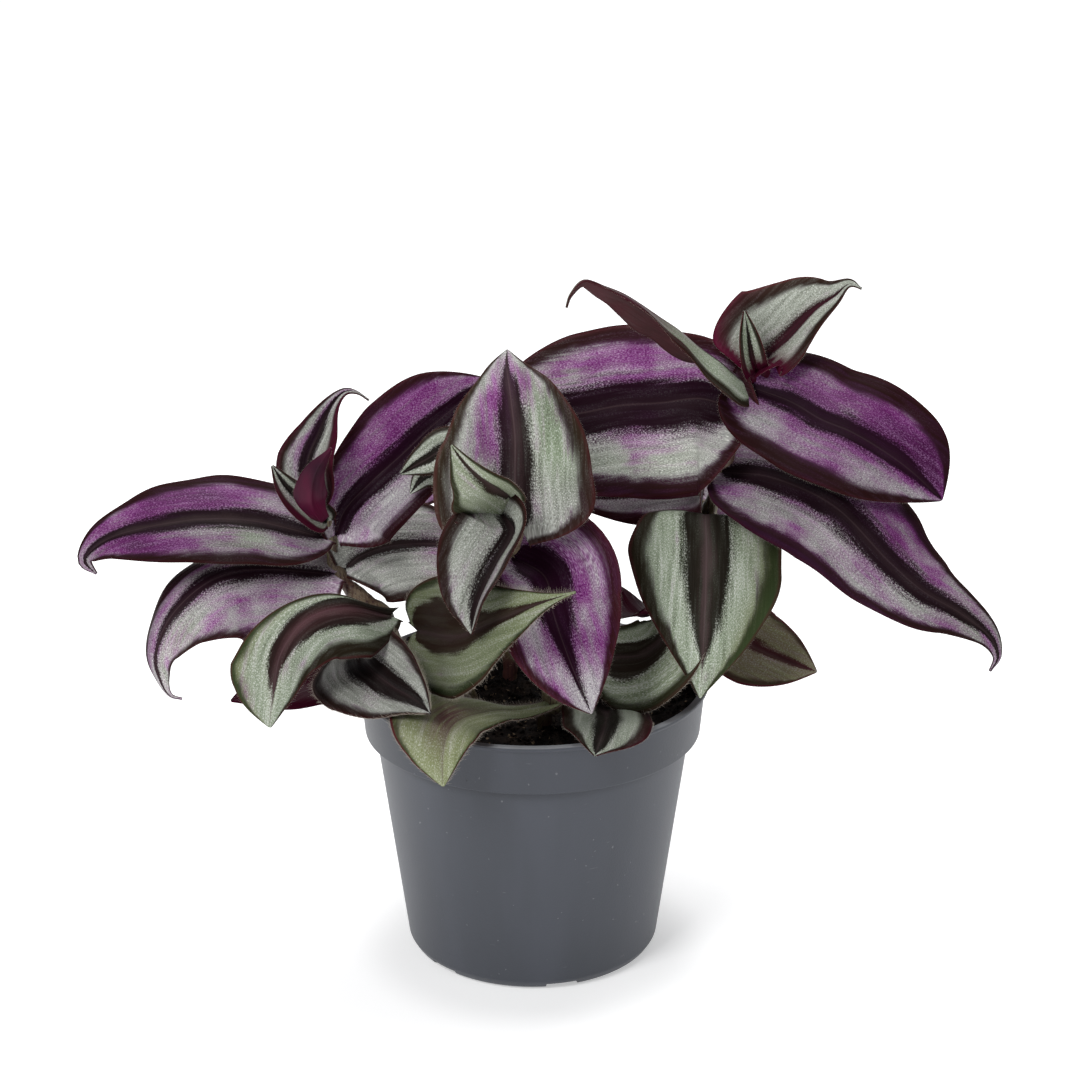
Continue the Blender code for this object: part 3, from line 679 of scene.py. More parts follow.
# %% Scatter them
# Each shape: the node that makes it, its settings, and how far noise pushes its points, in metres
BALL = ("GeometryNodeMeshIcoSphere", {"Radius": 1.0, "Subdivisions": 1}, 0.0009)
ROD_SIZES = {"Vertices": 3, "Radius Top": 0.09, "Radius Bottom": 0.14, "Depth": 9.0}
ROD = ("GeometryNodeMeshCone", ROD_SIZES, 0.0)
LITTER = {  # how many on a square metre, and their size in metres
    "crumbs": (BALL, {"Density": 3.2e5, "Size": 0.00062, "Seed": 3}),
    "fibres": (ROD, {"Density": 5e4, "Size": 0.0006, "Seed": 8}),
}
crumb_finish = make_peat("peat_crumbs", CRUMB_SPECKS)
for name, (shape, sizes) in LITTER.items():
    litter = use_tree(bed_top(f"soil_{name}"), scatter_tree(name, crumb_finish, *shape), **sizes)
    hand_over(litter, "soil")
    print(litter.name, len(litter.data.polygons), "faces")

# %% [markdown]
# ## Stems and their nodes
# A trailing tradescantia has soft round stems that bend at their nodes. The leaves grow at the nodes and
# clasp the stem with their bases, so the stems come first. The table gives where each stem leaves the soil
# and the points of its nodes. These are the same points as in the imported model, because a leaf has to grow
# where its solid is.

# %% The table of stems
STEMS = {
    "left": (
        (-29, -6),
        ((-33, -9, 82), (-37, -14, 95), (-43, -14, 100), (-48, -13, 106), (-50, -12, 115), (-51, -12, 119),
         (-52, -11, 122)),
    ),
    "front": (
        (3, -17),
        ((5, -20, 75), (0, -24, 98), (-4, -30, 117), (-4, -33, 123), (-5, -34, 129), (-6, -35, 134)),
    ),
    "right": (
        (29, 8),
        ((36, 8, 87), (44, 6, 114), (48, 4, 127), (52, 3, 143), (53, 4, 149), (54, 4, 153)),
    ),
    "low_left": ((-35, 3), ((-39, -1, 77), (-44, -8, 85), (-46, -10, 88))),
    "low_middle": ((-16, -8), ((-22, -12, 81), (-27, -14, 92), (-27, -14, 97))),
    "low_right": ((14, -5), ((16, -7, 74), (18, -9, 83), (18, -9, 88))),
    "back_right": ((30, 18), ((37, 18, 80), (42, 22, 98), (44, 25, 112))),
    "back": ((-6, 14), ((-9, 14, 92), (-11, 3, 118), (-11, -4, 128), (-11, -8, 135))),
    "back_left": ((-19, 16), ((-23, 19, 88), (-29, 24, 101), (-32, 27, 110))),
}
print("stems", len(STEMS), "nodes", sum(len(nodes) for _, nodes in STEMS.values()))

# %% The path of a stem
STEM_R, STEM_TIP_R = 1.9, 1.2
SHEATH_SWELL, SHEATH_LENGTH = 1.45, 3.0
FOOT_LIFTS = (-12, -5, 2, 5)
SPAN_STEPS = 24


def distances(line):
    """How far along a line of points each of them is."""
    return np.r_[0, np.cumsum(np.linalg.norm(np.diff(line, axis=0), axis=1))]


def read_off(where, run, line):
    """The values of a line at given distances along it."""
    return np.stack([np.interp(where, run, line[:, i]) for i in range(3)], 1)


def smooth_path(points, shares):
    """Places and unit tangents at shares of the length of a Catmull-Rom curve, and its length."""
    pts = np.array(points, float)
    ends = np.vstack([2 * pts[0] - pts[1], pts, 2 * pts[-1] - pts[-2]])
    fine = []
    u = np.linspace(0, 1, SPAN_STEPS, endpoint=False)[:, None]
    for a, b, c, d in zip(ends, ends[1:], ends[2:], ends[3:]):
        square = 2 * a - 5 * b + 4 * c - d
        cube = 3 * b - a - 3 * c + d
        fine.append(0.5 * (2 * b + (c - a) * u + square * u**2 + cube * u**3))
    fine = np.vstack([*fine, pts[-1:]])
    run = distances(fine)
    where = np.asarray(shares) * run[-1]
    spots, tangents = read_off(where, run, fine), read_off(where, run, np.gradient(fine, run, axis=0))
    return spots, tangents / np.linalg.norm(tangents, axis=1)[:, None], run[-1]


def stem_path(name, count):
    """Points, tangents and radii along a stem, which swells at each node, and how near a node is."""
    (x, y), nodes = STEMS[name]
    foot = [(x, y, SOIL_Z + lift) for lift in FOOT_LIFTS]
    shares = np.linspace(0, 1, count)
    spots, tangents, _ = smooth_path([*foot, *nodes], shares)
    near = np.array([np.linalg.norm(np.array(nodes, float) - spot, axis=1).min() for spot in spots])
    plain = STEM_R + (STEM_TIP_R - STEM_R) * shares**2
    swell = 1 + (SHEATH_SWELL - 1) * np.exp(-((near / SHEATH_LENGTH) ** 2))
    return spots, tangents, plain * swell, near


print("longest stem", round(max(smooth_path(nodes, [0])[2] for _, nodes in STEMS.values())), "mm")

# %% [markdown]
# ## How a blade is shaped
# A leaf of this plant is a pointed oval that is folded a little along its midrib and arched across. It is
# drawn by rule: the midrib is a smooth curve through a few points, and at each station along it the two
# halves go out to the width that the outline gives. skew, slant and blunt make its two sides unlike each
# other, as they are on a real leaf. A leaf starts at its node, so the table gives only the rest of its
# midrib, in way, and the direction in which its upper side looks, in face.

# %% What a leaf is
@dataclass
class Leaf:
    """A blade on one node of a stem, its midrib, and the rules of its outline and its section."""

    stem: str
    node: int
    width: float
    face: tuple
    way: tuple
    fold: float = 12.0  # how far both halves rise from the midrib, in degrees
    arch: float = 28.0  # how far they bend back down
    twist: float = 0.0  # how far it turns about its midrib from base to tip
    belly: float = 0.36  # where it is widest, as a share of its length
    rounding: float = 2.4  # how round its base is
    full: float = 2.1  # how full its sides stay towards the tip
    drawn: float = 0.0  # how far its tip is drawn out
    skew: float = 0.0  # one side wider
    slant: float = 0.0  # one side widest further along
    blunt: float = 0.0  # one side rounder at its base
    lobes: float = 0.1  # how far its base reaches back past the stem
    ends_stem: bool = False
    tone: str = "purple"


print("a leaf has", len(fields(Leaf)), "values")

# %% The table of leaves
LEAVES = {
    "left_outer_leaf": Leaf("left", 4, 26, (0, -0.62, 0.78),
        ((-67, -16, 120), (-80, -20, 122), (-94, -24, 121), (-102.8, -25, 118.2), (-107.4, -26, 114),
         (-104.8, -27, 110.5)),
        belly=0.38, full=2.4, drawn=0.15),
    "left_trailing_leaf": Leaf("left", 3, 30, (-0.2, -0.72, 0.66),
        ((-65, -17, 108), (-75, -21, 108), (-82, -25, 105), (-88, -29, 99), (-91, -31, 91), (-90, -32, 85),
         (-88, -32, 81), (-85, -32, 80)),
        fold=-12, arch=36, belly=0.38, full=2.6, drawn=0.7, skew=0.2),
    "left_lower_leaf": Leaf("left", 1, 25, (-0.15, -0.8, 0.57),
        ((-45, -27.5, 102), (-54, -33, 101), (-60, -37, 94), (-62, -39, 84), (-63, -40, 76)),
        belly=0.5, rounding=1.05, skew=0.08, slant=-0.25, tone="silver", blunt=0.2),
    "left_back_leaf": Leaf("left", 4, 27.4, (0, -0.95, 0.3),
        ((-46, -9.5, 121), (-39.5, -5.5, 127), (-32, -2, 133), (-25, 1, 139), (-18, 5, 144), (-11, 9, 149)),
        fold=8, arch=20, belly=0.35, full=2.8, skew=0.05, slant=0.16, blunt=-0.9),
    "left_inner_leaf": Leaf("left", 3, 29, (0, -0.75, 0.66),
        ((-42.5, -9, 108.5), (-36, -4.5, 109.5), (-28, -1, 109), (-19, 2, 107.5), (-10, 5, 105)),
        fold=5),
    "left_young_leaf": Leaf("left", 6, 19, (-0.47, -0.79, 0.38),
        ((-55, -9, 132), (-52, -6, 140), (-49, -4, 146), (-46, -3, 149), (-43, -3, 149), (-40, -3, 147)),
        fold=30, arch=15, belly=0.3, drawn=0.9, skew=-0.2, ends_stem=True, tone="silver"),
    "left_spathe_leaf": Leaf("left", 5, 8.5, (-0.1, 1.0, 0.2),
        ((-51.5, -17, 121), (-53.2, -21.5, 127), (-52.2, -22, 134), (-48, -21.5, 140.5)),
        fold=20, arch=10, tone="wine", belly=0.5, rounding=1.15, full=1.2),
    "left_bud_leaf": Leaf("left", 5, 8, (0.3, -0.9, 0.3),
        ((-58.5, -16.5, 128), (-63, -15, 134)),
        fold=25, arch=10, skew=0.1, tone="silver"),
    "front_upright_leaf": Leaf("front", 3, 38, (0, -0.93, 0.36),
        ((-4, -27, 133), (-4, -26, 144), (-5, -22, 153), (-6, -14, 158), (-6, -8, 161)),
        fold=8, belly=0.24, full=2.0, drawn=0.08, skew=0.02, rounding=3.0, lobes=0.14),
    "front_small_leaf": Leaf("front", 5, 15.5, (-0.2, -0.97, 0.1),
        ((-10.3, -46, 140), (-14.3, -47, 144), (-18.3, -45, 148.5)),
        fold=10, arch=12, skew=0.5, blunt=0.6, tone="silver", full=1.5, belly=0.35, lobes=0.3),
    "front_folded_leaf": Leaf("front", 4, 22, (-0.7, -0.7, 0.1),
        ((-4.2, -42, 126), (-8, -46, 120), (-12, -49, 112), (-14, -50, 104)),
        fold=42, arch=10, tone="silver", skew=-0.35, lobes=0.35, belly=0.42),
    "front_hanging_leaf": Leaf("front", 2, 32, (0.32, -0.85, 0.4),
        ((3, -36, 113), (5, -39, 105), (8, -43, 97), (11, -46, 90), (14, -48, 83)),
        fold=18, arch=20, skew=0.1, slant=-0.1, lobes=0.2),
    "middle_reaching_leaf": Leaf("low_middle", 1, 30, (-0.1, -0.9, 0.45),
        ((-18, -36, 98), (-10, -46, 105), (0, -53, 112), (10, -57, 117)),
        arch=25, drawn=0.6, tone="silver"),
    "back_claw_upper": Leaf("back", 3, 11, (0, -0.9, 0.4),
        ((-20, -12, 137.5), (-26, -12, 134.5), (-32, -12, 131)),
        tone="silver"),
    "back_claw_lower": Leaf("back", 2, 9, (0, -0.9, 0.4),
        ((-20, -6, 130), (-26, -7, 129), (-30, -7.5, 124.5)),
        tone="silver"),
    "right_crown_leaf": Leaf("right", 5, 26, (-0.37, -0.71, 0.6),
        ((58, 5, 156), (63, 4, 161), (69, 3, 168), (74, 2, 172), (77, 1, 175), (80, 1, 174)),
        fold=30, arch=15, belly=0.3, drawn=0.5, skew=0.24, blunt=0.1, tone="silver"),
    "right_bud_leaf": Leaf("right", 5, 7, (0.1, -1, 0),
        ((53.5, -1, 158), (51.5, -1, 169)),
        fold=35, arch=10, tone="silver"),
    "right_spear_leaf": Leaf("right", 4, 17, (0.5, 0.3, 0.8),
        ((46, -5, 157), (40, -8, 162), (35, -11, 167), (30, -14, 171), (25, -17, 175), (21, -20, 178),
         (17, -22, 180), (12, -24, 182), (9, -25, 179), (8, -26, 176)),
        fold=-30, arch=10, drawn=0.3, twist=70, tone="silver", rounding=3.0),
    "right_broad_leaf": Leaf("right", 3, 45, (0, -0.93, 0.37),
        ((42, 9, 144), (32, 12, 142), (22, 13, 141), (12, 13, 139), (-1, 11, 138), (-12, 9, 136)),
        fold=8, arch=25, belly=0.38, full=2.8, skew=0.08, slant=-0.1, blunt=0.6, lobes=0.2),
    "right_under_leaf": Leaf("right", 2, 21, (0, -0.6, 0.8),
        ((41, 11, 120.5), (32, 12, 118), (20, 14, 116), (7, 15.5, 115.5)),
        tone="wine", belly=0.2, rounding=3),
    "right_side_leaf": Leaf("right", 4, 31.5, (0.05, -0.85, 0.5),
        ((63, -4, 147), (70, -9, 144), (77, -13, 142), (84, -16, 138.5), (91, -19, 134),
         (98.5, -22, 127.5)),
        belly=0.45, rounding=2.6, full=3.2, lobes=0.16, slant=0.1, blunt=-0.3),
    "right_long_leaf": Leaf("right", 2, 34, (-0.1, -0.7, 0.7),
        ((59, -6, 128), (73, -19, 125), (85, -30, 115), (93, -35, 109), (101, -38, 105), (108, -40, 100),
         (110.5, -41, 95), (109, -41, 91)),
        fold=-8, arch=30, drawn=0.3, skew=0.08),
    "right_hanging_leaf": Leaf("right", 1, 39, (0, -0.9, 0.45),
        ((43, -3, 117), (43, -10, 112), (42.5, -18, 102.5), (42, -23, 95), (41.5, -27, 87), (41, -29, 79)),
        full=1.8, drawn=0.1, slant=0.05, tone="silver", lobes=0.02, blunt=0.5, fold=2),
    "right_low_leaf": Leaf("back_right", 0, 21.5, (0.05, -0.8, 0.57),
        ((52, 8, 81), (58, 4, 79), (66, -1, 77), (72, -5, 76)),
        fold=18, skew=-0.08, blunt=0.7, tone="olive", full=3.0),
    "low_cupped_leaf": Leaf("low_left", 1, 25, (-0.49, -0.37, 0.79),
        ((-41, -24, 86), (-37, -31, 85.5), (-33, -37, 85), (-28, -44, 85), (-24, -50, 84)),
        fold=18, arch=15, rounding=2.0, skew=-0.15, tone="silver"),
    "low_dark_leaf": Leaf("low_left", 0, 19, (0, -0.5, 0.8),
        ((-50, -5, 76.5), (-62, -12, 75), (-75, -18, 73.5)),
        fold=15, tone="wine"),
    "rim_leaf": Leaf("front", 0, 27, (0, -0.25, 0.97),
        ((-4, -30, 76), (-10, -35, 78), (-17, -42, 79), (-20, -49, 78.5), (-21, -53, 74), (-21, -54, 67)),
        fold=8, belly=0.62, rounding=1.0, full=1.5, skew=-0.48, slant=0.08, tone="olive", blunt=0.35),
    "low_front_leaf": Leaf("low_right", 0, 22.5, (0, -0.5, 0.85),
        ((18, -22, 72.5), (18, -33, 74.8), (17, -42, 75.3), (15, -50, 73)),
        arch=32, belly=0.62, skew=0.02, tone="silver", slant=0.14, full=2.6),
    "low_turned_leaf": Leaf("low_right", 1, 25, (-0.55, -0.6, 0.55),
        ((26, -14, 84), (30.3, -15.5, 87), (33.3, -14.5, 90.5), (35.8, -11.5, 94)),
        fold=10, arch=12, belly=0.5, full=3.2, skew=-0.28, tone="silver"),
    "middle_dark_leaf": Leaf("right", 0, 13, (0.1, -0.3, 0.95),
        ((28, 14, 84), (25, 24, 83), (23, 33, 85)),
        tone="wine"),
    "back_low_leaf": Leaf("back", 0, 26, (-0.1, 0.5, 0.85),
        ((-7, 25, 94), (-5, 37, 97), (-4, 48, 91)),
        tone="olive"),
    "back_high_leaf": Leaf("back", 1, 28, (0.1, 0.45, 0.88),
        ((-6, 17, 122), (0, 32, 124), (6, 44, 119)),
        tone="silver"),
    "back_right_leaf": Leaf("back_right", 1, 26, (0.3, 0.3, 0.9),
        ((54, 29, 105), (64, 38, 110), (72, 44, 107))),
    "back_right_upper_leaf": Leaf("back_right", 2, 26, (-0.1, 0.5, 0.85),
        ((38, 36, 120), (30, 46, 124), (22, 54, 120))),
    "back_left_leaf": Leaf("back_left", 1, 27, (-0.3, 0.3, 0.9),
        ((-44, 30, 106), (-57, 36, 108), (-68, 40, 102)),
        tone="silver"),
    "back_left_upper_leaf": Leaf("back_left", 2, 26, (0.1, 0.5, 0.85),
        ((-32, 38, 116), (-32, 48, 120), (-34, 57, 114))),
    "back_left_low_leaf": Leaf("back_left", 0, 24, (-0.2, 0.4, 0.9),
        ((-30, 31, 92), (-36, 40, 94), (-41, 48, 90))),
}
print("leaves", len(LEAVES))

# %% [markdown]
# ## How a blade is striped
# From the midrib outwards a blade has a dark core, a wide silvery band and a dark rim. The bands are green
# or silver in the shade and flush purple in the light, so every leaf is coloured differently, and so are
# the two halves of one leaf. core and rim tell where the band begins and ends, as shares of the half width.
# The other values are amounts. A flush adds a soft patch of more or less of any of these: its name, its
# place along and across the blade, its reach both ways, and how much it adds.

# %% What a look is
@dataclass
class Look:
    """The stripes of a blade: place of the band, its tints, and soft patches of more or less of them."""

    core: float = 0.24
    rim: float = 0.8
    purple: float = 0.2
    green: float = 0.3
    # light paints light and shade on the leaf, as well as its own paler or darker tone.
    light: float = 1.0  # paler or darker all over
    maroon: float = 0.0  # a wine-red stain over all stripes
    fringe: float = 0.6  # shade along both edges of the band
    leafy: float = 0.0  # plain leaf green
    edge: float = 0.25  # how red the margin is
    flushes: tuple = ()


AMOUNTS = [field.name for field in fields(Look) if field.name != "flushes"]
print("amounts", *AMOUNTS)

# %% The table of looks
# The light amounts and their flushes paint light and shade on each leaf, as well as its tone.
LOOKS = {
    "left_outer_leaf": Look(
        core=0.22, green=0.25, purple=0.5, light=0.86,
        flushes=(("purple", 0.55, -0.5, 0.35, 0.4, 0.5), ("purple", 0.72, 0.5, 0.14, 0.4, 0.6),
                 ("green", 0.3, 0.5, 0.16, 0.4, 0.6), ("purple", 0.3, 0.5, 0.22, 0.4, -0.1),
                 ("purple", 0.1, -0.5, 0.14, 0.4, -0.3), ("green", 0.5, 0.0, 0.5, 0.18, 0.6),
                 ("light", 0.4, 0.6, 0.4, 0.5, -0.2), ("rim", 0.4, -1.0, 0.5, 0.7, -0.06)),
    ),
    "left_trailing_leaf": Look(
        core=0.1, rim=0.84, green=0.15, purple=0.4, light=1.34,
        flushes=(("purple", 0.45, -0.7, 0.35, 0.35, 0.2), ("green", 0.75, 0.5, 0.2, 0.5, 0.6),
                 ("core", 0.4, -0.3, 0.3, 0.3, 0.14), ("light", 0.6, -0.8, 0.6, 0.5, -0.65),
                 ("rim", 0.4, -0.9, 0.3, 0.6, -0.4)),
    ),
    "left_lower_leaf": Look(
        core=0.34, rim=0.84, green=0.85, purple=0.1, light=0.95, fringe=0.3, edge=0.5,
        flushes=(("core", 0.1, -0.7, 0.3, 0.7, 0.6), ("rim", 0.35, 1.0, 0.3, 0.6, -0.2),
                 ("light", 0.4, 0.6, 0.5, 0.5, -0.15), ("core", 1.0, 0.0, 0.26, 2.0, -0.42),
                 ("leafy", 0.8, -0.95, 0.4, 0.3, 0.8), ("maroon", 0.4, 0.0, 0.5, 0.3, 0.22),
                 ("light", 0.4, 0.0, 0.5, 0.25, 0.9)),
    ),
    "left_back_leaf": Look(
        core=0.25, green=0.05, purple=0.35,
        flushes=(("purple", 0.5, 0.55, 0.45, 0.4, 0.55),),
    ),
    "left_inner_leaf": Look(
        core=0.1, rim=0.82, green=0.45, purple=0.12, light=1.35,
        flushes=(("purple", 0.75, 0.0, 0.25, 0.9, 0.4),),
    ),
    "left_young_leaf": Look(
        core=0.28, rim=0.72, green=0.5, purple=0.25, light=0.86, edge=0.5,
        flushes=(("purple", 0.5, 0.25, 0.3, 0.25, 0.6), ("maroon", 0.5, -1.0, 0.5, 0.3, 0.7),
                 ("maroon", 0.5, 1.0, 0.5, 0.15, 0.5)),
    ),
    "left_spathe_leaf": Look(green=0.0, maroon=0.75),
    "left_bud_leaf": Look(
        core=0.3, rim=0.7, green=0.7, purple=0.1, light=0.75, edge=0.7,
        flushes=(("maroon", 0.3, 1.0, 0.5, 0.4, 0.8),),
    ),
    "front_upright_leaf": Look(
        core=0.22, green=0.4, purple=0.15,
        flushes=(("purple", 0.62, 0.35, 0.28, 0.35, 0.6), ("purple", 0.8, -0.3, 0.18, 0.4, 0.6),
                 ("green", 0.5, -0.55, 0.3, 0.4, 0.7), ("light", 0.6, -0.55, 0.2, 0.3, -0.15),
                 ("light", 0.25, -0.5, 0.2, 0.4, 0.12), ("light", 0.45, 0.0, 0.45, 0.2, 0.9),
                 ("green", 0.5, 1.0, 0.6, 0.2, 0.5), ("light", 0.5, 1.0, 0.6, 0.14, 1.0),
                 ("light", 0.5, -1.0, 0.6, 0.14, 1.0), ("core", 0.95, 0.0, 0.2, 2.0, -0.12)),
    ),
    "front_small_leaf": Look(
        leafy=0.3, core=0.16, rim=0.76, green=0.85, purple=0.02, light=0.92, fringe=0.15, edge=0.4,
    ),
    "front_folded_leaf": Look(core=0.2, rim=0.76, green=0.55, purple=0.22, light=0.88),
    "front_hanging_leaf": Look(
        green=0.05, purple=0.6,
        flushes=(("light", 0.4, 1.0, 0.5, 0.14, 0.8), ("light", 0.4, -1.0, 0.5, 0.14, 0.8),
                 ("purple", 0.95, 0.0, 0.18, 1.0, -0.4), ("purple", 0.3, -0.6, 0.2, 0.3, -0.3),
                 ("core", 0.15, 0.0, 0.25, 2.0, 0.14), ("light", 0.9, 0.0, 0.2, 2.0, 0.15),
                 ("core", 0.8, 0.0, 0.25, 2.0, -0.1), ("core", 1.0, 0.0, 0.2, 2.0, -0.1)),
    ),
    "middle_reaching_leaf": Look(
        core=0.14, rim=0.86, green=1.0, purple=0.0, light=0.62, fringe=0.2, leafy=0.6, edge=0.5,
        flushes=(("core", 0.2, 0.5, 0.4, 0.8, 0.5), ("light", 0.95, 0.0, 0.25, 2.0, 0.3)),
    ),
    "back_claw_upper": Look(core=0.3, green=0.7, purple=0.05),
    "back_claw_lower": Look(core=0.3, green=0.7, purple=0.05),
    "right_crown_leaf": Look(
        core=0.13, rim=0.7, green=0.6, purple=0.08, fringe=0.4, edge=0.4,
        flushes=(("maroon", 0.0, 0.0, 0.08, 2.0, 1.2), ("maroon", 0.15, 1.0, 0.25, 0.16, 0.4),
                 ("maroon", 0.1, -0.8, 0.17, 0.6, 1.3), ("light", 0.7, 0.4, 0.3, 0.5, 0.1),
                 ("maroon", 0.5, 0.0, 0.5, 0.16, 0.45), ("light", 0.5, 1.0, 0.5, 0.2, 0.8)),
    ),
    "right_bud_leaf": Look(
        rim=0.7, green=0.9, purple=0.02, light=0.8, edge=0.9,
        flushes=(("maroon", 0.0, 0.0, 0.3, 2.0, 1.2),),
    ),
    "right_spear_leaf": Look(
        core=0.1, rim=0.72, green=0.9, purple=0.02, light=1.05, fringe=0.1,
        flushes=(("maroon", 0.75, 0.0, 0.32, 1.2, 0.85),),
    ),
    "right_broad_leaf": Look(
        core=0.29, green=0.15, light=1.14, fringe=0.9,
        flushes=(("purple", 0.35, -0.5, 0.4, 0.45, 0.5), ("purple", 0.9, -0.6, 0.3, 0.4, 0.2),
                 ("green", 0.72, -0.6, 0.14, 0.3, 0.6), ("green", 0.5, 0.62, 0.6, 0.25, 0.5),
                 ("purple", 0.4, 0.3, 0.18, 0.2, 0.3), ("light", 0.4, 0.7, 0.6, 0.4, 0.25),
                 ("purple", 0.5, 0.95, 0.5, 0.12, 0.9)),
    ),
    "right_under_leaf": Look(core=0.1, rim=0.66, green=0.1, purple=0.3, light=0.9, maroon=0.15),
    "right_side_leaf": Look(
        core=0.19, rim=0.74, green=0.2, purple=0.78, light=0.74,
        flushes=(("purple", 0.85, -0.6, 0.3, 0.4, -0.4), ("purple", 0.78, 0.3, 0.22, 0.35, 0.4),
                 ("purple", 0.2, -0.6, 0.2, 0.4, -0.4), ("light", 0.45, 0.7, 0.3, 0.2, 0.1),
                 ("rim", 0.6, 1.0, 0.4, 0.5, -0.12)),
    ),
    "right_long_leaf": Look(
        purple=0.42, light=0.78, fringe=1.0,
        flushes=(("purple", 0.5, 0.4, 0.5, 0.2, 0.3), ("green", 0.95, 0.0, 0.2, 1.0, 0.5),
                 ("purple", 0.3, 0.8, 0.4, 0.2, 0.6), ("purple", 0.3, -1.0, 0.45, 0.15, 1.2)),
    ),
    "right_hanging_leaf": Look(
        core=0.33, rim=0.76, green=0.9, purple=0.0, light=0.98, edge=0.5,
        flushes=(("core", 1.0, 0.0, 0.2, 2.0, -0.34), ("core", 0.95, 0.0, 0.5, 2.0, -0.1),
                 ("leafy", 0.6, 0.95, 0.5, 0.3, 1.0), ("light", 0.4, 0.0, 0.5, 0.2, 0.7)),
    ),
    "right_low_leaf": Look(
        core=0.16, rim=0.84, green=0.5, purple=0.0, light=1.08, maroon=0.3, fringe=0.3, leafy=0.8,
        edge=1.0,
    ),
    "low_cupped_leaf": Look(core=0.34, rim=0.84, green=0.5, purple=0.12, light=0.72),
    "low_dark_leaf": Look(maroon=0.85, light=0.7),
    "rim_leaf": Look(
        core=-0.1, rim=0.88, green=0.85, purple=0.0, light=1.02, fringe=0.0, leafy=0.75, edge=0.9,
        flushes=(("maroon", 0.62, -0.15, 0.2, 0.3, 0.55), ("light", 0.95, 0.0, 0.2, 2.0, 0.2),
                 ("light", 0.35, 0.9, 0.3, 0.3, -0.35), ("light", 0.3, -0.6, 0.4, 0.6, -0.15),
                 ("maroon", 0.3, -1.0, 0.4, 0.25, 0.5)),
    ),
    "low_front_leaf": Look(
        core=0.28, rim=0.74, green=0.75, purple=0.05, light=0.74, fringe=0.7, edge=0.5,
        flushes=(("maroon", 0.7, 1.0, 0.4, 0.2, 0.3),),
    ),
    "low_turned_leaf": Look(
        core=0.18, rim=0.82, green=0.9, purple=0.0, light=0.9, fringe=0.3, leafy=0.2,
        flushes=(("core", 0.3, 0.5, 0.4, 0.6, 0.2), ("core", 0.15, -0.3, 0.35, 0.6, 0.35),
                 ("light", 0.7, -0.5, 0.4, 0.5, 0.3)),
    ),
    "middle_dark_leaf": Look(maroon=0.9, light=0.7),
    "back_low_leaf": Look(green=0.7, purple=0.1, light=0.8),
    "back_high_leaf": Look(green=0.4),
    "back_right_leaf": Look(green=0.15, purple=0.5),
    "back_right_upper_leaf": Look(green=0.2, purple=0.45, flushes=(("green", 0.5, 0.5, 0.4, 0.5, 0.4),)),
    "back_left_leaf": Look(green=0.5, purple=0.15),
    "back_left_upper_leaf": Look(green=0.1, purple=0.6),
    "back_left_low_leaf": Look(purple=0.3, light=0.85),
}
print("looks", len(LOOKS), "missing", sorted(set(LEAVES) - set(LOOKS)))

# %% [markdown]
# ## The mesh of a blade
# A real blade is a sheet of about half a millimetre that thins towards its margins. It has a furrow over
# its midrib and a margin that waves a little. The mesh is two sheets of quads with a narrow strip between
# them all round, so it is closed and nothing shows through. Each point keeps its place across and along the
# blade, and the amounts of its look, as attributes, and the leaf's material reads these.

# %% Where a blade starts
LEAF_THICKNESS, LEAF_GAP = 0.7, 0.38
OVERLAP, LEAST_FRONT = 1.6, 0.3
STEM_SAMPLES = 300


def leaf_base(leaf):
    """Where a blade starts: over the face of the sheath at its node, or past the end of the stem."""
    node = np.array(STEMS[leaf.stem][1][leaf.node], float)
    spots, tangents, radii, _ = stem_path(leaf.stem, STEM_SAMPLES)
    near = np.linalg.norm(spots - node, axis=1).argmin()
    if leaf.ends_stem:
        return node + tangents[near] * (LEAF_THICKNESS / 2 + 2 * LEAF_GAP)
    toward = np.array(leaf.way[0], float) - node
    away = unit(toward - (toward @ tangents[near]) * tangents[near])
    face = np.array(leaf.face, float)
    front = face - (face @ tangents[near]) * tangents[near] - (face @ away) * away
    turn = front / max(np.linalg.norm(front), LEAST_FRONT) * OVERLAP
    return node + unit(away + turn) * (radii[near] + LEAF_THICKNESS / 2)


print("first leaf starts at", leaf_base(LEAVES["left_outer_leaf"]).round(1), "mm")

# %% The directions along a midrib
FACE_STATION = 0.4


def turned_about(v, axis, degrees):
    """A direction turned about an axis of length 1."""
    a = math.radians(degrees)
    return v * math.cos(a) + np.cross(axis, v) * math.sin(a) + axis * (axis @ v) * (1 - math.cos(a))


def blade_normals(tangents, shares, face, twist):
    """The blade's upward direction at each station, carried along the midrib without spin, then twisted."""
    middle = int(np.abs(shares - FACE_STATION).argmin())
    normals = np.zeros((len(tangents), 3))
    normals[middle] = unit(face - (face @ tangents[middle]) * tangents[middle])
    for order in (range(middle + 1, len(tangents)), range(middle - 1, -1, -1)):
        last = normals[middle]
        for i in order:
            last = unit(last - (last @ tangents[i]) * tangents[i])
            normals[i] = last
    turns = twist * (shares - FACE_STATION)
    return np.array([turned_about(n, t, turn) for n, t, turn in zip(normals, tangents, turns)])


print("a leaf looks the way of its face at", FACE_STATION, "of its length")

# %% The outline and the sheet
ROWS, COLUMNS, EVEN_ROWS = 73, 25, 0.5
NECK, BASE_HALF, BASE_FADE, TIP_HALF, TIP_FADE = 0.01, 2.6, 8, 0.35, 12
CLASP_DEG, CLASP_SHARE, LEAST_BEND = 28.0, 0.05, 0.01
WAVE, WAVE_LENGTH, WAVE_HALF = 0.35, 17.0, 6
LOBE_SHARE, LOBE_CURVE = 0.14, 1.5


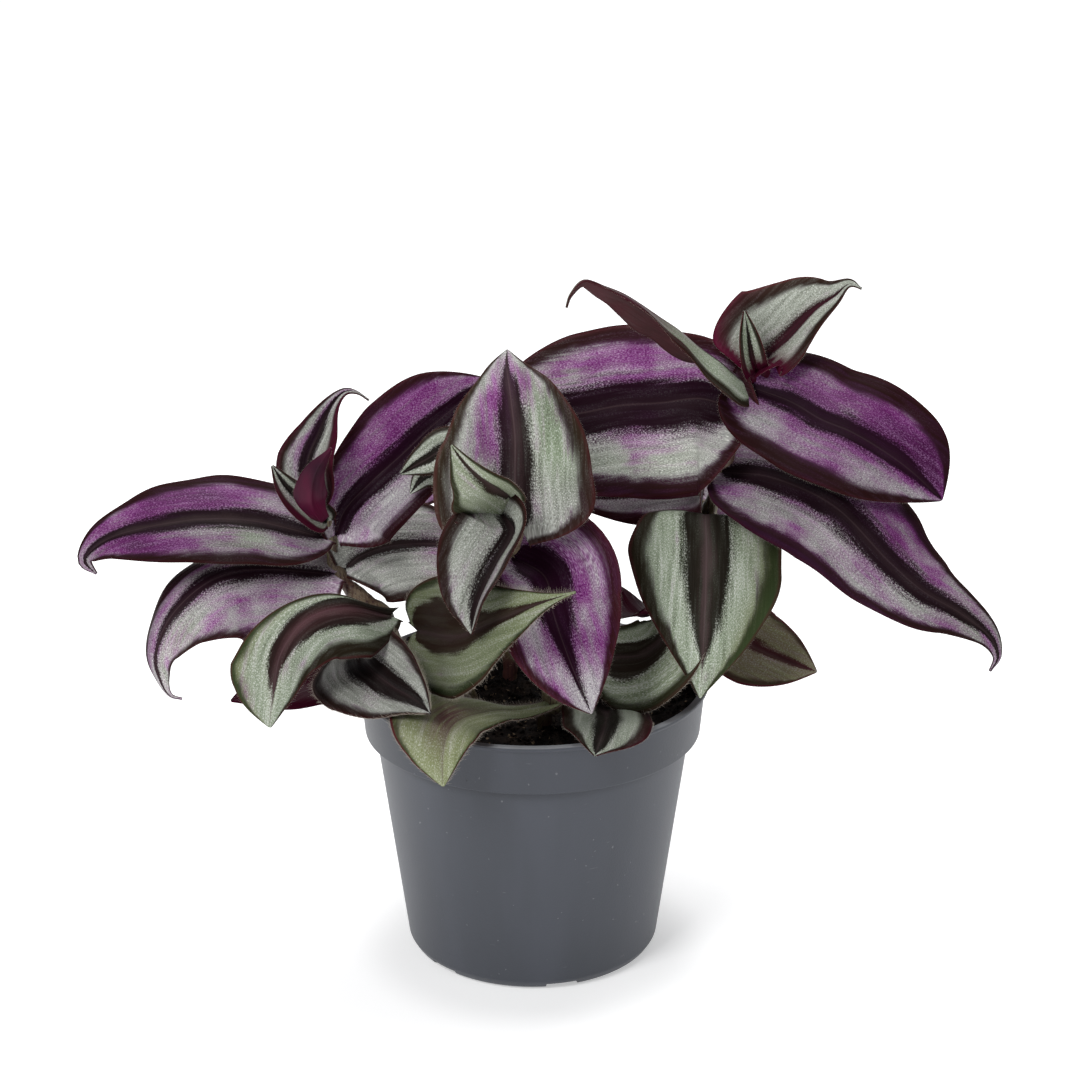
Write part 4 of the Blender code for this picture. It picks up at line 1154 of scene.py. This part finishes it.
def half_width(share, leaf, side):
    """Half the blade's width at a share of its length: a full base, a belly and a point."""
    belly = leaf.belly + leaf.slant * side
    rounding = leaf.rounding + leaf.blunt * side
    along = max(share - NECK, 0) / (1 - NECK)
    if along < belly:
        outline = (1 - (1 - along / belly) ** rounding) ** (1 / rounding)
    else:
        past = (along - belly) / (1 - belly)
        outline = (1 - past**leaf.full) * (1 - past) ** leaf.drawn
    grown = leaf.width / 2 * (1 + leaf.skew * side) * outline
    return grown + BASE_HALF * (1 - share) ** BASE_FADE + TIP_HALF * share**TIP_FADE


def blade_sheet(leaf, phase):
    """The blade's middle surface, its normals, and each point's place across and along, in millimetres."""
    steady = np.linspace(0, 1, ROWS)
    shares = EVEN_ROWS * steady + (1 - EVEN_ROWS) / 2 * (1 - np.cos(math.pi * steady))
    centres, tangents, length = smooth_path([leaf_base(leaf), *leaf.way], shares)
    ups = blade_normals(tangents, shares, unit(leaf.face), leaf.twist)
    sides = np.cross(ups, tangents)
    points, normals, places = np.zeros((3, ROWS, COLUMNS, 3))
    for i, share in enumerate(shares):
        middle = math.sin(math.pi * share) ** 0.5
        fold = math.radians(leaf.fold + CLASP_DEG * math.exp(-share / CLASP_SHARE))
        bend = math.radians(leaf.arch * middle + LEAST_BEND)
        for j, s in enumerate(np.linspace(-1, 1, COLUMNS)):
            slope = fold - bend * abs(s)
            half = half_width(share, leaf, np.sign(s))
            out = half * (math.sin(fold) - math.sin(slope)) / bend * np.sign(s)
            lift = half * (math.cos(slope) - math.cos(fold)) / bend
            normal = math.cos(slope) * ups[i] - math.sin(slope) * np.sign(s) * sides[i]
            waved = WAVE * s * s * math.sin(math.tau * share * length / WAVE_LENGTH + phase + s)
            waved *= middle * min(1, half / WAVE_HALF)
            back = leaf.lobes * leaf.width * abs(s) ** LOBE_CURVE * math.exp(-share / LOBE_SHARE)
            points[i, j] = centres[i] + out * sides[i] + lift * ups[i] + waved * normal - back * tangents[i]
            normals[i, j] = normal
            places[i, j] = s * half, share * length, s
    return points, normals, places, shares


def blade_faces():
    """Quads of the upper sheet, of the lower one, and of the strip round them."""
    under = ROWS * COLUMNS
    top = []
    for i in range(ROWS - 1):
        for j in range(COLUMNS - 1):
            a = i * COLUMNS + j
            top.append((a, a + 1, a + 1 + COLUMNS, a + COLUMNS))
    bottom = [tuple(v + under for v in reversed(quad)) for quad in top]
    edge = [i * COLUMNS for i in range(ROWS)]
    edge += [(ROWS - 1) * COLUMNS + j for j in range(1, COLUMNS)]
    edge += [i * COLUMNS + COLUMNS - 1 for i in range(ROWS - 2, -1, -1)]
    edge += list(range(COLUMNS - 2, 0, -1))
    strip = [(a, b, b + under, a + under) for a, b in zip(edge, edge[1:] + edge[:1])]
    return top, bottom, strip


print("faces of a blade", sum(map(len, blade_faces())))

# %% The blade with its amounts
MIDRIB_THICK, MARGIN_THICK = 0.6, 0.26
FURROW, FURROW_WIDTH = 0.28, 0.07


def look_amounts(look, shares):
    """Each amount of a look at every point of a sheet, with its flushes added."""
    along, across = np.meshgrid(shares, np.linspace(-1, 1, COLUMNS), indexing="ij")
    amounts = {}
    for what in AMOUNTS:
        amount = np.full(along.shape, getattr(look, what))
        for kind, here, side, reach, wide, more in look.flushes:
            if kind == what:
                amount += more * np.exp(-(((along - here) / reach) ** 2) - ((across - side) / wide) ** 2)
        amounts[what] = amount.ravel()
    return amounts


def add_amount(mesh, name, kind, values):
    """A value at every point of a mesh, for a material or a tree to read."""
    spread = mesh.attributes.new(name, kind, "POINT")
    spread.data.foreach_set("value" if kind == "FLOAT" else "vector", np.asarray(values, float).ravel())


def make_blade(name, leaf, look, number, top_finish, under_finish):
    """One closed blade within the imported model's box, with a finish on its upper side and one under it."""
    points, normals, places, shares = blade_sheet(leaf, number)
    across = places[:, :, 2]
    thick = MARGIN_THICK + (MIDRIB_THICK - MARGIN_THICK) * (1 - across**2)
    furrow = FURROW * np.exp(-((across / FURROW_WIDTH) ** 2)) * (np.sin(math.pi * shares) ** 0.5)[:, None]
    upper = points + normals * (thick / 2 - furrow)[:, :, None]
    lower = points - normals * (thick / 2 + furrow)[:, :, None]
    corners = np.vstack([upper.reshape(-1, 3), lower.reshape(-1, 3)])
    corners = np.clip(corners, np.array(cad_low) / MM, np.array(cad_high) / MM)
    top, bottom, strip = blade_faces()
    piece = new_piece(name, corners, top + strip + bottom, top_finish, under_finish)
    finish = np.zeros(len(piece.data.polygons), np.int32)
    finish[len(top) + len(strip):] = 1
    piece.data.polygons.foreach_set("material_index", finish)
    place = places.reshape(-1, 3) * MM
    place[:, 2] = number
    add_amount(piece.data, "place", "FLOAT_VECTOR", np.vstack([place, place]))
    add_amount(piece.data, "across", "FLOAT", np.r_[across.ravel(), across.ravel()])
    for what, amount in look_amounts(look, shares).items():
        add_amount(piece.data, what, "FLOAT", np.r_[amount, amount])
    return piece, points


print("a blade is", MIDRIB_THICK, "mm thick at its midrib and", MARGIN_THICK, "mm at its margins")

# %% [markdown]
# ## The leaf's upper side
# The silver of these leaves is not a pigment. Small pockets of air under a clear skin scatter the light, in
# thousands of grains in rows along the blade, and the colour under them shows between them. So the material
# first lays out the three stripes, with soft edges that streak along the veins. Then it breaks up the band
# with a fine noise drawn out along the leaf: pale grains, which with streaks along the veins also paint
# highlights, dark pits, and bright painted glints. Purple gathers in patches and in a fringe along both
# edges of the band. A painted sheen lightens the core of green leaves, and the light amount paints each
# leaf's light and shade. Only the band has the gloss of the clear skin, and the dark stripes are dull.

# %% Leaf colours
CORE_BROWN = colour(19, 6, 10)
CORE_PURPLE = colour(38, 8, 31)
CORE_OLIVE = colour(34, 34, 26)
CORE_TAWNY = colour(58, 40, 33)
RIM_BROWN = colour(42, 15, 20)
RIM_OLIVE = colour(36, 32, 22)
RIM_GREEN = colour(54, 66, 40)
RIM_PURPLE = colour(50, 24, 43)
EDGE_RED = colour(80, 30, 36)
BAND_SILVER = colour(160, 152, 159)
BAND_GREEN = colour(138, 152, 126)
LEAF_GREEN = colour(112, 116, 70)
BAND_PURPLE = colour(114, 38, 110)
BAND_DEEP = colour(66, 10, 60)
PALE_GRAIN_AND_HIGHLIGHT = colour(206, 208, 201)
PAINTED_GLINT = colour(232, 234, 228)
GRAIN_DARK = colour(78, 62, 76)
GRAIN_OLIVE = colour(72, 80, 58)
LILAC_GRAIN_AND_HIGHLIGHT = colour(180, 130, 182)
PALE_VEIN_AND_SHEEN = colour(82, 66, 68)
MAROON = colour(66, 14, 34)
print("leaf colours ready")

# %% Where the stripes and the purple lie
LEAF_NOISES = {  # the scale, the detail and the stretch of each
    "veins": (900, 2, (1, 0.07, 1)),
    "broad": (200, 3, (1, 0.45, 1)),
    "grain": (5000, 2, (1, 0.4, 1)),
    "fine": (5200, 1, (1, 0.5, 1)),
    "glint": (3600, 1, (1, 0.8, 1)),
}
EDGE_VEINS, EDGE_DRIFT, EDGE_GRAIN = 0.2, 0.2, 0.16
CORE_EASE, RIM_EASE = (-0.05, 0.06), (-0.07, 0.07)
PATCH_DRIFT, PATCH_VEINS, PATCH_GRAIN, PATCH_EASE = 1.3, 0.7, 0.6, (0.12, 0.86)


def amount(tree, name):
    """A value that the mesh carries."""
    return add(tree, "ShaderNodeAttribute", attribute_name=name).outputs["Fac"]


def leaf_place(tree):
    """The place across and along the blade, and the leaf's number."""
    return add(tree, "ShaderNodeAttribute", attribute_name="place").outputs["Vector"]


def swing(tree, value, reach):
    """A noise from 0 to 1, centred on 0 and scaled."""
    return times(tree, minus(tree, value, 0.5), reach)


def lay_out(tree):
    """All that the leaf's colours are mixed from: noises, amounts, and where stripes and purple lie."""
    place = leaf_place(tree)
    skin = SimpleNamespace(**{name: speckle(tree, place, *how) for name, how in LEAF_NOISES.items()})
    for name in AMOUNTS:
        setattr(skin, name, amount(tree, name))
    skin.off = maths(tree, "ABSOLUTE", amount(tree, "across"))
    ragged = plus(tree, swing(tree, skin.veins, EDGE_VEINS), swing(tree, skin.broad, EDGE_DRIFT))
    skin.shifted = plus(tree, plus(tree, skin.off, ragged), swing(tree, skin.grain, EDGE_GRAIN))
    skin.from_core = minus(tree, skin.shifted, skin.core)
    skin.from_rim = minus(tree, skin.shifted, skin.rim)
    skin.in_band, skin.in_rim = ease(tree, skin.from_core, *CORE_EASE), ease(tree, skin.from_rim, *RIM_EASE)
    patchy = plus(tree, skin.purple, swing(tree, skin.broad, PATCH_DRIFT))
    streaked = plus(tree, patchy, swing(tree, skin.veins, PATCH_VEINS))
    skin.spread = minus(tree, streaked, swing(tree, skin.grain, PATCH_GRAIN))
    skin.flush = ease(tree, skin.spread, *PATCH_EASE)
    return skin


print("noises of the leaf", *LEAF_NOISES)

# %% The band
DEEP_EASE, LEAFY_CALM, SPARKLE_VEINS = (0.6, 1.3), 0.7, 0.7
GRAIN_EASE, GRAIN_SHOWS, GRAIN_HIDES = (0.46, 0.76), 0.76, 0.26
PIT_EASE, PIT_SHOWS = (0.48, 0.24), 0.65
GLINT_EASE, GLINT_SHOWS, GLINT_HIDES = (0.6, 0.72), 0.75, 0.35
FRINGE_CORE, FRINGE_RIM, FRINGE_GRAIN = (0.14, 0.0), (-0.1, 0.0), (0.7, 0.4)


def band_colour(tree, skin):
    """Silver, green or purple, broken up by grains that also paint highlights, pits and painted glints, with a
    darker fringe.
    """
    plain = blend(tree, skin.leafy, blend(tree, skin.green, BAND_SILVER, BAND_GREEN), LEAF_GREEN)
    violet = blend(tree, ease(tree, skin.spread, *DEEP_EASE), BAND_PURPLE, BAND_DEEP)
    band = blend(tree, skin.flush, plain, violet)
    calm = minus(tree, 1.0, times(tree, skin.leafy, LEAFY_CALM))
    # Grain with streaks along the veins: its high end is pale grain and painted highlight, its low end pits.
    grain_and_highlight = plus(tree, skin.grain, swing(tree, skin.veins, SPARKLE_VEINS))
    pits = blend(tree, skin.green, GRAIN_DARK, GRAIN_OLIVE)
    # The third layer paints bright glints into the colour.
    for value, limits, shows, hides, on_plain, on_violet in (
        (grain_and_highlight, GRAIN_EASE, GRAIN_SHOWS, GRAIN_HIDES, PALE_GRAIN_AND_HIGHLIGHT, LILAC_GRAIN_AND_HIGHLIGHT),
        (grain_and_highlight, PIT_EASE, PIT_SHOWS, 0.0, pits, BAND_DEEP),
        (skin.glint, GLINT_EASE, GLINT_SHOWS, GLINT_HIDES, PAINTED_GLINT, LILAC_GRAIN_AND_HIGHLIGHT),
    ):
        here = times(tree, ease(tree, value, *limits), minus(tree, shows, times(tree, skin.flush, hides)))
        band = blend(tree, times(tree, here, calm), band, blend(tree, skin.flush, on_plain, on_violet))
    near_core, near_rim = ease(tree, skin.from_core, *FRINGE_CORE), ease(tree, skin.from_rim, *FRINGE_RIM)
    fringe = times(tree, maths(tree, "MAXIMUM", near_core, near_rim), skin.fringe)
    shaded = times(tree, fringe, ease(tree, skin.grain, *FRINGE_GRAIN))
    return blend(tree, shaded, band, blend(tree, skin.green, BAND_DEEP, RIM_OLIVE))


print("fringe", FRINGE_CORE[0], "past the core and", -FRINGE_RIM[0], "before the rim")

# %% The dark stripes
OLIVE_SHARE, RIM_PURPLE_EASE = 0.6, (0.7, 1.4)
DUSK_EASE, CORE_DUSK, RIM_DUSK = (0.4, 0.62), 0.05, 0.07


def dark_colours(tree, skin, band):
    """The core and the rim, with a little of the band showing through along the veins."""
    core = blend(tree, skin.purple, CORE_BROWN, CORE_PURPLE)
    core = blend(tree, times(tree, skin.green, OLIVE_SHARE), core, CORE_OLIVE)
    core = blend(tree, skin.leafy, core, CORE_TAWNY)
    rim = blend(tree, skin.green, RIM_BROWN, RIM_OLIVE)
    rim = blend(tree, skin.leafy, rim, RIM_GREEN)
    rim = blend(tree, ease(tree, skin.spread, *RIM_PURPLE_EASE), rim, RIM_PURPLE)
    dusk = ease(tree, skin.veins, *DUSK_EASE)
    shows = [times(tree, dusk, share) for share in (CORE_DUSK, RIM_DUSK)]
    return [blend(tree, share, dark, band) for share, dark in zip(shows, (core, rim))]


print("the band shows through by", CORE_DUSK, "and", RIM_DUSK)

# %% The whole upper side
MARGIN_EASE = (0.93, 0.98)
MIDRIB_EASE, MIDRIB_PALE = (0.02, 0.0), 0.3
SHEEN_EASE, SHEEN_GREEN = (0.13, 0.0), 0.4
STAIN_LEAST, STAIN_EASE = 0.7, (0.3, 0.6)
LEAF_GLOSS, BAND_SHINE, DARK_SHINE = (0.24, 0.46), 0.1, 0.02
VEIN_RELIEF, GRAIN_RELIEF, LEAF_RELIEF = 1.6, 0.5, 0.00018


def make_leaf_top():
    """Core, band and rim, the red margin, the paler midrib, a painted sheen, the stain, painted light and
    shade, and the gloss of the band alone.
    """
    material, tree, shader = new_material("striped_leaf", roughness=0.36, specular=BAND_SHINE)
    skin = lay_out(tree)
    band = band_colour(tree, skin)
    core, rim = dark_colours(tree, skin, band)
    whole = blend(tree, skin.in_rim, blend(tree, skin.in_band, core, band), rim)
    whole = blend(tree, times(tree, ease(tree, skin.off, *MARGIN_EASE), skin.edge), whole, EDGE_RED)
    whole = blend(tree, times(tree, ease(tree, skin.off, *MIDRIB_EASE), MIDRIB_PALE), whole, PALE_VEIN_AND_SHEEN)
    # A painted sheen: the core of green leaves is lightened towards the midrib.
    sheen = times(tree, ease(tree, skin.shifted, *SHEEN_EASE), times(tree, skin.green, SHEEN_GREEN))
    whole = blend(tree, sheen, whole, PALE_VEIN_AND_SHEEN)
    stained = times(tree, skin.maroon, plus(tree, STAIN_LEAST, ease(tree, skin.veins, *STAIN_EASE)))
    whole = blend(tree, stained, whole, MAROON)
    # The light amount paints light and shade, as a change of brightness.
    lit = add(tree, "ShaderNodeHueSaturation", {"Value": skin.light, "Color": whole}).outputs[0]
    tree.links.new(lit, shader.inputs["Base Color"])
    tree.links.new(spread_over(tree, skin.fine, *LEAF_GLOSS), shader.inputs["Roughness"])
    shine = times(tree, minus(tree, skin.in_band, skin.in_rim), BAND_SHINE)
    tree.links.new(plus(tree, shine, DARK_SHINE), shader.inputs["Specular IOR Level"])
    relief = plus(tree, times(tree, skin.veins, VEIN_RELIEF), times(tree, skin.grain, GRAIN_RELIEF))
    add_relief(tree, shader, relief, LEAF_RELIEF)
    return material


leaf_top = make_leaf_top()
print("leaf material has", len(leaf_top.node_tree.nodes), "nodes")

# %% [markdown]
# ## The leaf's lower side
# Underneath, the leaves are wine red with a silky gloss, and the veins show as fine paler lines. Green
# leaves from the shade are browner there.

# %% Underside colours
UNDER_WINE = colour(78, 11, 42)
UNDER_DARK = colour(42, 8, 28)
UNDER_BROWN = colour(72, 50, 44)
UNDER_VEINS, UNDER_BROAD = (1000, 2, (1, 0.04, 1)), (160, 2, (1, 0.4, 1))
WINE_EASE, BROWN_SHARE = (0.35, 0.7), 0.6
LINE_EASE, LINE_SHOWS, UNDER_RELIEF = (0.55, 0.7), 0.16, 0.00016


def make_leaf_under():
    """Wine red, browner on green leaves, with paler veins."""
    material, tree, shader = new_material("wine_underside", roughness=0.42, specular=0.15)
    place = leaf_place(tree)
    veins, broad = speckle(tree, place, *UNDER_VEINS), speckle(tree, place, *UNDER_BROAD)
    base = blend(tree, ease(tree, broad, *WINE_EASE), UNDER_DARK, UNDER_WINE)
    base = blend(tree, times(tree, amount(tree, "green"), BROWN_SHARE), base, UNDER_BROWN)
    lines = times(tree, ease(tree, veins, *LINE_EASE), LINE_SHOWS)
    tree.links.new(blend(tree, lines, base, PALE_VEIN_AND_SHEEN), shader.inputs["Base Color"])
    add_relief(tree, shader, veins, UNDER_RELIEF)
    return material


leaf_under = make_leaf_under()
print("underside has", len(leaf_under.node_tree.nodes), "nodes")

# %% [markdown]
# ## Make every leaf
# One loop makes all blades. Each stands for the solid of its leaf. The middle surfaces are kept for the hairs
# of the margins.

# %% The loop
SHEETS, faces = {}, 0
for number, (name, leaf) in enumerate(LEAVES.items()):
    piece_name = name.removesuffix("_leaf") + "_blade"
    blade, SHEETS[name] = make_blade(piece_name, leaf, LOOKS[name], number, leaf_top, leaf_under)
    hand_over(blade, f"{leaf.tone}_leaf", name)
    faces += len(blade.data.polygons)
print("blades", len(SHEETS), "faces", faces)

# %% [markdown]
# ## A tube for the stems
# A stem is a tube along its path whose thickness changes: it swells at each node and narrows towards its
# tip. Geometry Nodes do this well. A line of points with their radii as an attribute becomes a curve, and a
# circle is swept along it. A fine rib where each sheath ends comes from the radii too.

# %% A tree that sweeps a tube
def tube_tree(name, material):
    """Sweeps a circle along a chain of edges, as wide as each point's radius."""
    tree, given, out = new_tree(name, [("Sides", "Int", 18)])
    line = add(tree, "GeometryNodeMeshToCurve", {"Mesh": given["Mesh"]}).outputs[0]
    radius = add(tree, "GeometryNodeInputNamedAttribute", {"Name": "radius"}, data_type="FLOAT")
    circle = {"Resolution": given["Sides"], "Radius": 1.0}
    ring = add(tree, "GeometryNodeCurvePrimitiveCircle", circle).outputs[0]
    swept = {"Curve": line, "Profile Curve": ring, "Scale": radius.outputs["Attribute"], "Fill Caps": True}
    tube = add(tree, "GeometryNodeCurveToMesh", swept).outputs[0]
    smooth = add(tree, "GeometryNodeSetShadeSmooth", {"Geometry": tube}).outputs[0]
    return end_tree(tree, out, smooth, material)


def points_piece(name, spots, edges=()):
    """A mesh of loose points, or of a chain of edges through them, from millimetres."""
    mesh = bpy.data.meshes.new(name)
    mesh.from_pydata([tuple(v) for v in spots * MM], edges, [])
    return put_in_scene(name, mesh)


print("tube tree ready")

# %% [markdown]
# ## Stem skin
# The stems are brown-purple in some places and green in others, and the sheaths at their nodes are paler.
# A broad noise mixes the two colours, and one drawn out upwards gives the fine dark streaks. How near a
# node is comes from the mesh as an attribute, because no noise knows where the nodes are.

# %% Stem colours
STEM_PURPLE = colour(86, 54, 50)
STEM_GREEN = colour(98, 90, 62)
STEM_STREAK = colour(58, 32, 40)
SHEATH_PALE = colour(150, 138, 112)
STREAKS, STEM_PATCHES = (1500, 2, (1, 1, 0.08)), (90, 2)
PATCHES_EASE, SHEATH_SHARE = (0.38, 0.62), 0.55
STREAK_EASE, STREAK_SHOWS, STEM_RELIEF = (0.48, 0.66), 0.75, 0.00015


def make_stem_skin():
    """Brown-purple and green, with paler sheaths and dark streaks."""
    material, tree, shader = new_material("stem_skin", roughness=0.4, specular=0.3)
    place = own_place(tree)
    streaks, broad = speckle(tree, place, *STREAKS), speckle(tree, place, *STEM_PATCHES)
    base = blend(tree, ease(tree, broad, *PATCHES_EASE), STEM_PURPLE, STEM_GREEN)
    base = blend(tree, times(tree, amount(tree, "sheath"), SHEATH_SHARE), base, SHEATH_PALE)
    skin = blend(tree, times(tree, ease(tree, streaks, *STREAK_EASE), STREAK_SHOWS), base, STEM_STREAK)
    tree.links.new(skin, shader.inputs["Base Color"])
    add_relief(tree, shader, streaks, STEM_RELIEF)
    return material


stem_skin = make_stem_skin()
print("stem skin has", len(stem_skin.node_tree.nodes), "nodes")

# %% Sweep them
STEM_STEPS, STEM_SIDES = 160, 18
RIB_HEIGHT, RIB_AT, RIB_WIDTH = 0.14, 2.6, 0.5
sweep = tube_tree("stem_tube", stem_skin)
for name in STEMS:
    spots, _, radii, near = stem_path(name, STEM_STEPS)
    ribbed = radii + RIB_HEIGHT * np.exp(-(((near - RIB_AT) / RIB_WIDTH) ** 2))
    stalk = points_piece(f"stalk_{name}", spots, [(k, k + 1) for k in range(STEM_STEPS - 1)])
    add_amount(stalk.data, "radius", "FLOAT", ribbed * MM)
    add_amount(stalk.data, "sheath", "FLOAT", np.exp(-((near / SHEATH_LENGTH) ** 2)))
    use_tree(stalk, sweep, Sides=STEM_SIDES)
    hand_over(stalk, "stem", f"stem_{name}")
    print(stalk.name, len(stalk.data.polygons), "faces")

# %% [markdown]
# ## Hairs
# The margins of the leaves carry fine pale hairs, and so do the stems, where they stand closest on the
# sheaths. A few low leaves that grow in the shade have a shaggy fringe as well. These hairs are far too
# many to place by hand. A tree takes points, each with the direction in which its hair stands, and puts a
# thin three-sided cone on every one, leaning a little at random.

# %% A tree that grows hairs
LEAN, SHORTEST = 0.5, 0.45
CONE = {"Vertices": 3, "Radius Top": 0.1, "Radius Bottom": 1.0, "Depth": 1.0}


def hair_tree(name, material):
    """Puts a cone on every point, along its own direction, with lengths and leans at random."""
    sizes = [("Length", "Float", 0.001), ("Thickness", "Float", 0.00004), ("Seed", "Int", 5)]
    tree, given, out = new_tree(name, sizes)
    spots = add(tree, "GeometryNodeMeshToPoints", {"Mesh": given["Mesh"]}).outputs[0]
    stand = add(tree, "GeometryNodeInputNamedAttribute", {"Name": "stand"}, data_type="FLOAT_VECTOR")
    lean = random_vector(tree, (-LEAN,) * 3, (LEAN,) * 3, Seed=given["Seed"])
    way = vector_maths(tree, "ADD", {0: stand.outputs["Attribute"], 1: lean})
    turn = add(tree, "FunctionNodeAlignRotationToVector", {"Vector": way}, axis="Z").outputs[0]
    heights = {2: SHORTEST, 3: 1.0, "Seed": given["Seed"]}
    tall = add(tree, "FunctionNodeRandomValue", heights, data_type="FLOAT").outputs[1]
    sides = {0: given["Thickness"], 1: given["Thickness"], 2: times(tree, tall, given["Length"])}
    size = add(tree, "ShaderNodeCombineXYZ", sides).outputs[0]
    placed = put_on_points(tree, spots, add(tree, "GeometryNodeMeshCone", CONE), turn, size)
    return end_tree(tree, out, placed, material)


print("hairs lean at random by up to", LEAN, "each way")

# %% The colour of the hairs
DOWN_DARK, DOWN_PALE, DOWN_SCALE = colour(150, 138, 124), colour(200, 190, 176), 300


def make_down():
    """Pale brown that changes a little from hair to hair."""
    material, tree, shader = new_material("pale_down", roughness=0.5)
    tint = blend(tree, speckle(tree, own_place(tree), DOWN_SCALE), DOWN_DARK, DOWN_PALE)
    tree.links.new(tint, shader.inputs["Base Color"])
    return material


down_tree = hair_tree("down", make_down())
print("down ready")

# %% Where the hairs stand
HAIR_STEP, SHAG_STEP, SHAG_RISE = 0.4, 0.25, 0.8
SHAGGY = ("rim_leaf", "middle_reaching_leaf", "low_cupped_leaf", "low_turned_leaf")
FIRST_HAIR, LAST_HAIR = 1.5, 0.5
SHEATH_RING, STEM_RING = (9, 0.9), (5, 0.2)
BARE_FOOT, RING_TURN_DEG, OUTWARD = 4, 37, 0.5
SIDE_HINT = (0.3, 1, 0.2)


def margin_hairs(sheet, step, rise):
    """Points along both margins of a blade and the directions away from its midrib."""
    places, ways = [], []
    for column, inner in ((0, 1), (COLUMNS - 1, COLUMNS - 2)):
        line, within = sheet[:, column], sheet[:, inner]
        run = distances(line)
        marks = np.arange(FIRST_HAIR, run[-1] - LAST_HAIR, step)
        spots = read_off(marks, run, line)
        away = spots - read_off(marks, run, within)
        places.append(spots)
        ways.append(away / np.linalg.norm(away, axis=1)[:, None] + np.array((0, 0, rise)))
    return np.vstack(places), np.vstack(ways)


def stem_hairs(name):
    """Points in rings round a stem, closest on its sheaths, and the directions up and out from them."""
    places, ways = [], []
    for spot, along, radius, gap in zip(*stem_path(name, STEM_STEPS)):
        if spot[2] < SOIL_Z + BARE_FOOT:
            continue
        side = unit(np.cross(along, SIDE_HINT))
        count, rise = SHEATH_RING if gap < SHEATH_LENGTH else STEM_RING
        for k in range(count):
            out = turned_about(side, along, 360 / count * k + RING_TURN_DEG * spot[2])
            places.append(spot + out * radius)
            ways.append(OUTWARD * out + rise * along)
    return np.array(places), np.array(ways)


print("a margin has a hair every", HAIR_STEP, "mm")

# %% Grow them
HAIR_INSET = 1.3
DOWN = {  # length and thickness of the hairs in millimetres, then where they stand
    "margin_down": (0.7, 0.02, [margin_hairs(sheet, HAIR_STEP, 0.0) for sheet in SHEETS.values()]),
    "shaggy_down": (1.8, 0.03, [margin_hairs(SHEETS[name], SHAG_STEP, SHAG_RISE) for name in SHAGGY]),
    "sheath_down": (1.4, 0.03, [stem_hairs(name) for name in STEMS]),
}
low, high = np.array(cad_low) / MM + HAIR_INSET, np.array(cad_high) / MM - HAIR_INSET
for name, (length, thickness, stands) in DOWN.items():
    places, ways = [np.vstack(parts) for parts in zip(*stands)]
    keep = np.all((places > low) & (places < high), 1)
    down = points_piece(name, places[keep])
    add_amount(down.data, "stand", "FLOAT_VECTOR", ways[keep])
    use_tree(down, down_tree, Length=length * MM, Thickness=thickness * MM)
    hand_over(down, "stem")
    print(name, int(keep.sum()), "hairs")
